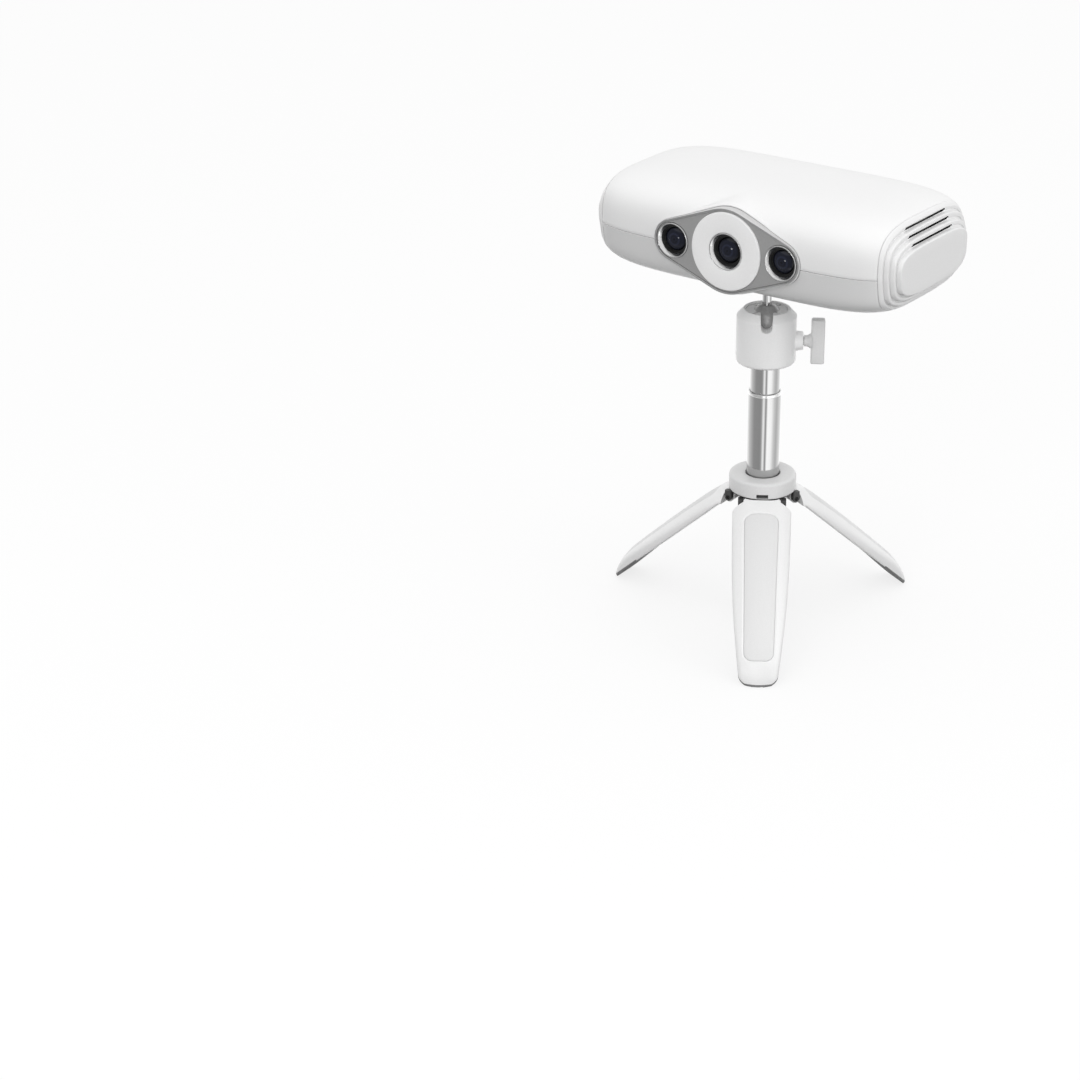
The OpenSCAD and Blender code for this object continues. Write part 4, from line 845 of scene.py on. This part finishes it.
def glass_with_painted_sheen(name, x):
    """Dark glass whose colour goes from black at the edge through painted blue rings to a dark middle: a
    painted sheen of the coating.
    """
    material = finish(name, shade(0.04), shade(0.06), 0.05, drift=0.01, grain=2.0, Specular_IOR_Level=0.3)
    nodes = material.node_tree.nodes
    place = nodes.new("ShaderNodeTexCoord")
    centre = nodes.new("ShaderNodeMapping")
    centre.vector_type = "TEXTURE"
    centre.inputs["Location"].default_value = (x / 1000, -0.033, 0.185)
    centre.inputs["Scale"].default_value = (0.0058, 0.05, 0.0058)
    fade = nodes.new("ShaderNodeTexGradient")
    fade.gradient_type = "SPHERICAL"
    tint = nodes.new("ShaderNodeValToRGB")
    stops = tint.color_ramp.elements
    # The blue rings are a painted reflection of the coating's sheen, set in the glass's own dark colour.
    stops[0].color, stops[1].color = shade(0.03), shade(0.05, (0.8, 0.9, 1))
    for at, level in ((0.12, 0.06), (0.28, 0.18), (0.46, 0.16), (0.58, 0.24), (0.72, 0.14), (0.86, 0.18)):
        stops.new(at).color = shade(level, (0.66, 0.72, 1))
    wire(place, "Object", centre, "Vector")
    wire(centre, "Vector", fade, "Vector")
    wire(fade, "Fac", tint, "Fac")
    wire(tint, "Color", nodes["Principled BSDF"], "Base Color")
    return material


bezel_back, bezel_front, bezel_wide = 36.4, 43.6, 1.4
barrel_back, barrel_floor, barrel_front, camera_half = 33.0, 37.9, 41.7, 8
glass_back, glass_edge, bulge, ridge_step = 38.9, 40.5, 1.6, 0.38
for name, x, bezel_r in (("centre", 0, 8.25), ("left", -lens_apart, 7.8), ("right", lens_apart, 7.8)):
    inner = bezel_r - bezel_wide
    bezel_profile = soft([(inner, bezel_back, 0), (bezel_r, bezel_back, 0), (bezel_r, bezel_front, 0.3),
                          (bezel_r - 0.45, bezel_front, 0.25), (inner, 42.0, 0.15)], 4)
    bezel = piece(name + "_bezel_ring", lathe(bezel_profile, 128), lens_axis(x))
    fit(bezel, "scanner_head", name + "_bezel", bezel_chrome)
    barrel_r = inner - 0.1
    bore = barrel_r - 1
    barrel_profile = [(barrel_r, barrel_back), (barrel_r, barrel_front - 0.1), (barrel_r - 0.1, barrel_front),
                      (barrel_r - 0.4, barrel_front)]
    for i in range(3):
        r, h = barrel_r - 0.5 - 0.16 * i, barrel_front - 0.05 - ridge_step * i
        barrel_profile += [(r, h), (r - 0.03, h - 0.3), (r - 0.14, h - 0.33)]
    barrel_profile += [(bore, glass_edge), (bore, barrel_floor), (0, barrel_floor), (0, barrel_back)]
    barrel = piece(name + "_barrel_tube", lathe(barrel_profile, 96), lens_axis(x))
    if x:
        rings = []
        for pz, inset in ((20, 0.3), (20.3, 0), (32.9, 0), (33.1, 0.3)):
            e = camera_half - inset
            rings.append([(px, py, pz) for px, py in rounded(-e, e, -e, e, 1)])
        carve(barrel, piece("camera_body", loft(rings), lens_axis(x)), "UNION")
    fit(barrel, "scanner_head", name + "_barrel", barrel_black)
    glass_r = bore - 0.1
    dome = (glass_r ** 2 + bulge ** 2) / (2 * bulge)
    half = math.degrees(math.asin(glass_r / dome))
    glass_profile = arc(dome, glass_edge + bulge - dome, 90 - half, 90, 16)
    glass_profile[-1] = (0, glass_edge + bulge)
    glass_profile = [(0, glass_back), (glass_r, glass_back)] + glass_profile
    glass = piece(name + "_lens_glass", lathe(glass_profile, 96), lens_axis(x))
    fit(glass, "scanner_head", name + "_glass", glass_with_painted_sheen(name + "_painted_sheen", x))

# Inside the head a die-cast bench carries the lenses, and the main board lies across the lower shell
# with its heat sink, flat cables and sockets. The two sockets show at the back.
cast = finish("die_cast", shade(0.62), shade(0.70), 0.5, grain=0.5, relief=0.03, metal=0.8)
for node in ("optical_bench", "light_engine", "heat_sink"):
    dress(node, cast)
for node in ("left_camera_board", "right_camera_board", "main_board"):
    dress(node, board_green)
for node in ("bench_screws", "board_screws", "usb_socket"):
    dress(node, steel)
dress("power_jack", black_plastic_and_vent_shade)
pale_blue = (0.85, 0.95, 1)
pad = finish("thermal_pad", shade(0.62, pale_blue), shade(0.68, pale_blue), 0.7, grain=0.8)
dress("thermal_pad", pad)
amber = finish("flat_cable", shade(0.62, (1, 0.75, 0.35)), shade(0.70, (1, 0.78, 0.4)), 0.4, grain=0.8)
dress("camera_ribbons", amber)

# The studio is a pale floor and a white surround, lit softly from the front and the right.
# Bent cards of darker and brighter paper stand round the column, for the chrome and the lenses to show.
floor_mesh = bpy.data.meshes.new("studio_floor")
floor_work = bmesh.new()
bmesh.ops.create_circle(floor_work, cap_ends=True, radius=4, segments=96)
floor_work.to_mesh(floor_mesh)
floor_work.free()
floor = add("studio_floor", floor_mesh)
floor.location.z = -0.0002


def seen_white(nodes):
    """Is true for rays from the camera, from gloss and through glass, which see a plain white studio."""
    path = nodes.new("ShaderNodeLightPath")
    gloss = nodes.new("ShaderNodeMath")
    glass = nodes.new("ShaderNodeMath")
    for adder in (gloss, glass):
        adder.operation = "MAXIMUM"
    wire(path, "Is Camera Ray", gloss, 0)
    wire(path, "Is Glossy Ray", gloss, 1)
    wire(gloss, 0, glass, 0)
    wire(path, "Is Transmission Ray", glass, 1)
    return glass


paper = bpy.data.materials.new("studio_paper")
paper.use_nodes = True
nodes = paper.node_tree.nodes
nodes.clear()
bounce = nodes.new("ShaderNodeBsdfDiffuse")
bounce.inputs["Color"].default_value = (0.12, 0.12, 0.12, 1)
matt = nodes.new("ShaderNodeBsdfDiffuse")
matt.inputs["Color"].default_value = (0.92, 0.92, 0.92, 1)
white = nodes.new("ShaderNodeEmission")
lit = nodes.new("ShaderNodeMixShader")
lit.inputs["Fac"].default_value = 0.78
blend = nodes.new("ShaderNodeMixShader")
out = nodes.new("ShaderNodeOutputMaterial")
wire(matt, 0, lit, 1)
wire(white, 0, lit, 2)
wire(seen_white(nodes), 0, blend, "Fac")
wire(bounce, 0, blend, 1)
wire(lit, 0, blend, 2)
wire(blend, 0, out, "Surface")
floor_mesh.materials.append(paper)

world = bpy.data.worlds.new("studio")
world.use_nodes = True
bpy.context.scene.world = world
nodes = world.node_tree.nodes
level = nodes.new("ShaderNodeMapRange")
level.inputs["To Min"].default_value = 0.92
level.inputs["To Max"].default_value = 1.0
wire(seen_white(nodes), 0, level, "Value")
wire(level, "Result", nodes["Background"], "Strength")
nodes["Background"].inputs["Color"].default_value = (1, 1, 1, 1)


def soft_light(name, place, aim, size, power):
    """A square softbox that looks at a point."""
    lamp = bpy.data.lights.new(name, "AREA")
    lamp.size = size
    lamp.energy = power
    holder = add(name, lamp)
    holder.location = place
    holder.rotation_euler = (Vector(aim) - Vector(place)).to_track_quat("-Z", "Y").to_euler()
    holder.visible_glossy = False


soft_light("front_softbox", (0.35, -1.5, 0.75), (0, 0, 0.12), 1.0, 7)
soft_light("right_softbox", (1.4, 0.0, 0.5), (0, 0, 0.15), 0.9, 4)


def card(name, r, low, high, levels, strength=1.0):
    """A bent card seen only in gloss, with its brightness given at places round the stand in degrees."""
    first, last, steps = levels[0][0], levels[-1][0], 96
    turned = [math.radians(first + (last - first) * i / steps) for i in range(steps + 1)]
    points = [(r * math.cos(a), r * math.sin(a), z) for z in (low, high) for a in turned]
    faces = [(i, i + 1, i + steps + 2, i + steps + 1) for i in range(steps)]
    thing = piece(name, (points, faces))
    tone = bpy.data.materials.new(name)
    tone.use_nodes = True
    nodes = tone.node_tree.nodes
    nodes.clear()
    place = nodes.new("ShaderNodeTexCoord")
    around = nodes.new("ShaderNodeTexGradient")
    around.gradient_type = "RADIAL"
    ramp = nodes.new("ShaderNodeValToRGB")
    stops = ramp.color_ramp.elements
    for stop, (at, level) in zip(stops, (levels[0], levels[-1])):
        stop.position, stop.color = at / 360 + 0.5, [level] * 3 + [1]
    for at, level in levels[1:-1]:
        stops.new(at / 360 + 0.5).color = [level] * 3 + [1]
    glow = nodes.new("ShaderNodeEmission")
    glow.inputs["Strength"].default_value = strength
    end = nodes.new("ShaderNodeOutputMaterial")
    wire(place, "Object", around, "Vector")
    wire(around, "Fac", ramp, "Fac")
    wire(ramp, "Color", glow, "Color")
    wire(glow, 0, end, "Surface")
    thing.data.materials.append(tone)
    thing.visible_camera = thing.visible_diffuse = thing.visible_shadow = thing.visible_transmission = False


column_levels = [(-180, 0.6), (-157, 0.46), (-127, 0.27), (-84, 0.25), (-75, 0.32), (-62, 0.9), (-48, 0.22),
                 (-35, 1.0), (-10, 0.93), (10, 0.6), (32, 0.44), (58, 0.62), (90, 0.8), (180, 0.7)]
card("column_card", 110, 0, 120, column_levels, 1.75)
dim_front = [(-180, 0.3), (-60, 0.3)]
card("near_card", 240, 0, 125, dim_front)
card("far_card", 560, 0, 420, dim_front)
card("spark_card", 512, 115, 165, [(-101, 1), (-94, 1)], 10)

# The camera looks down on the head from its right front, through a long lens.
lens = bpy.data.cameras.new("camera")
lens.lens = 85.831
lens.sensor_width = 36
camera = add("camera", lens)
camera.location = (0.57044, -0.920716, 0.538004)
camera.rotation_euler = [math.radians(a) for a in (65.0959, 0.7199, 36.8541)]
bpy.context.scene.camera = camera
bpy.context.scene.view_settings.view_transform = "Standard"

bpy.context.view_layer.update()
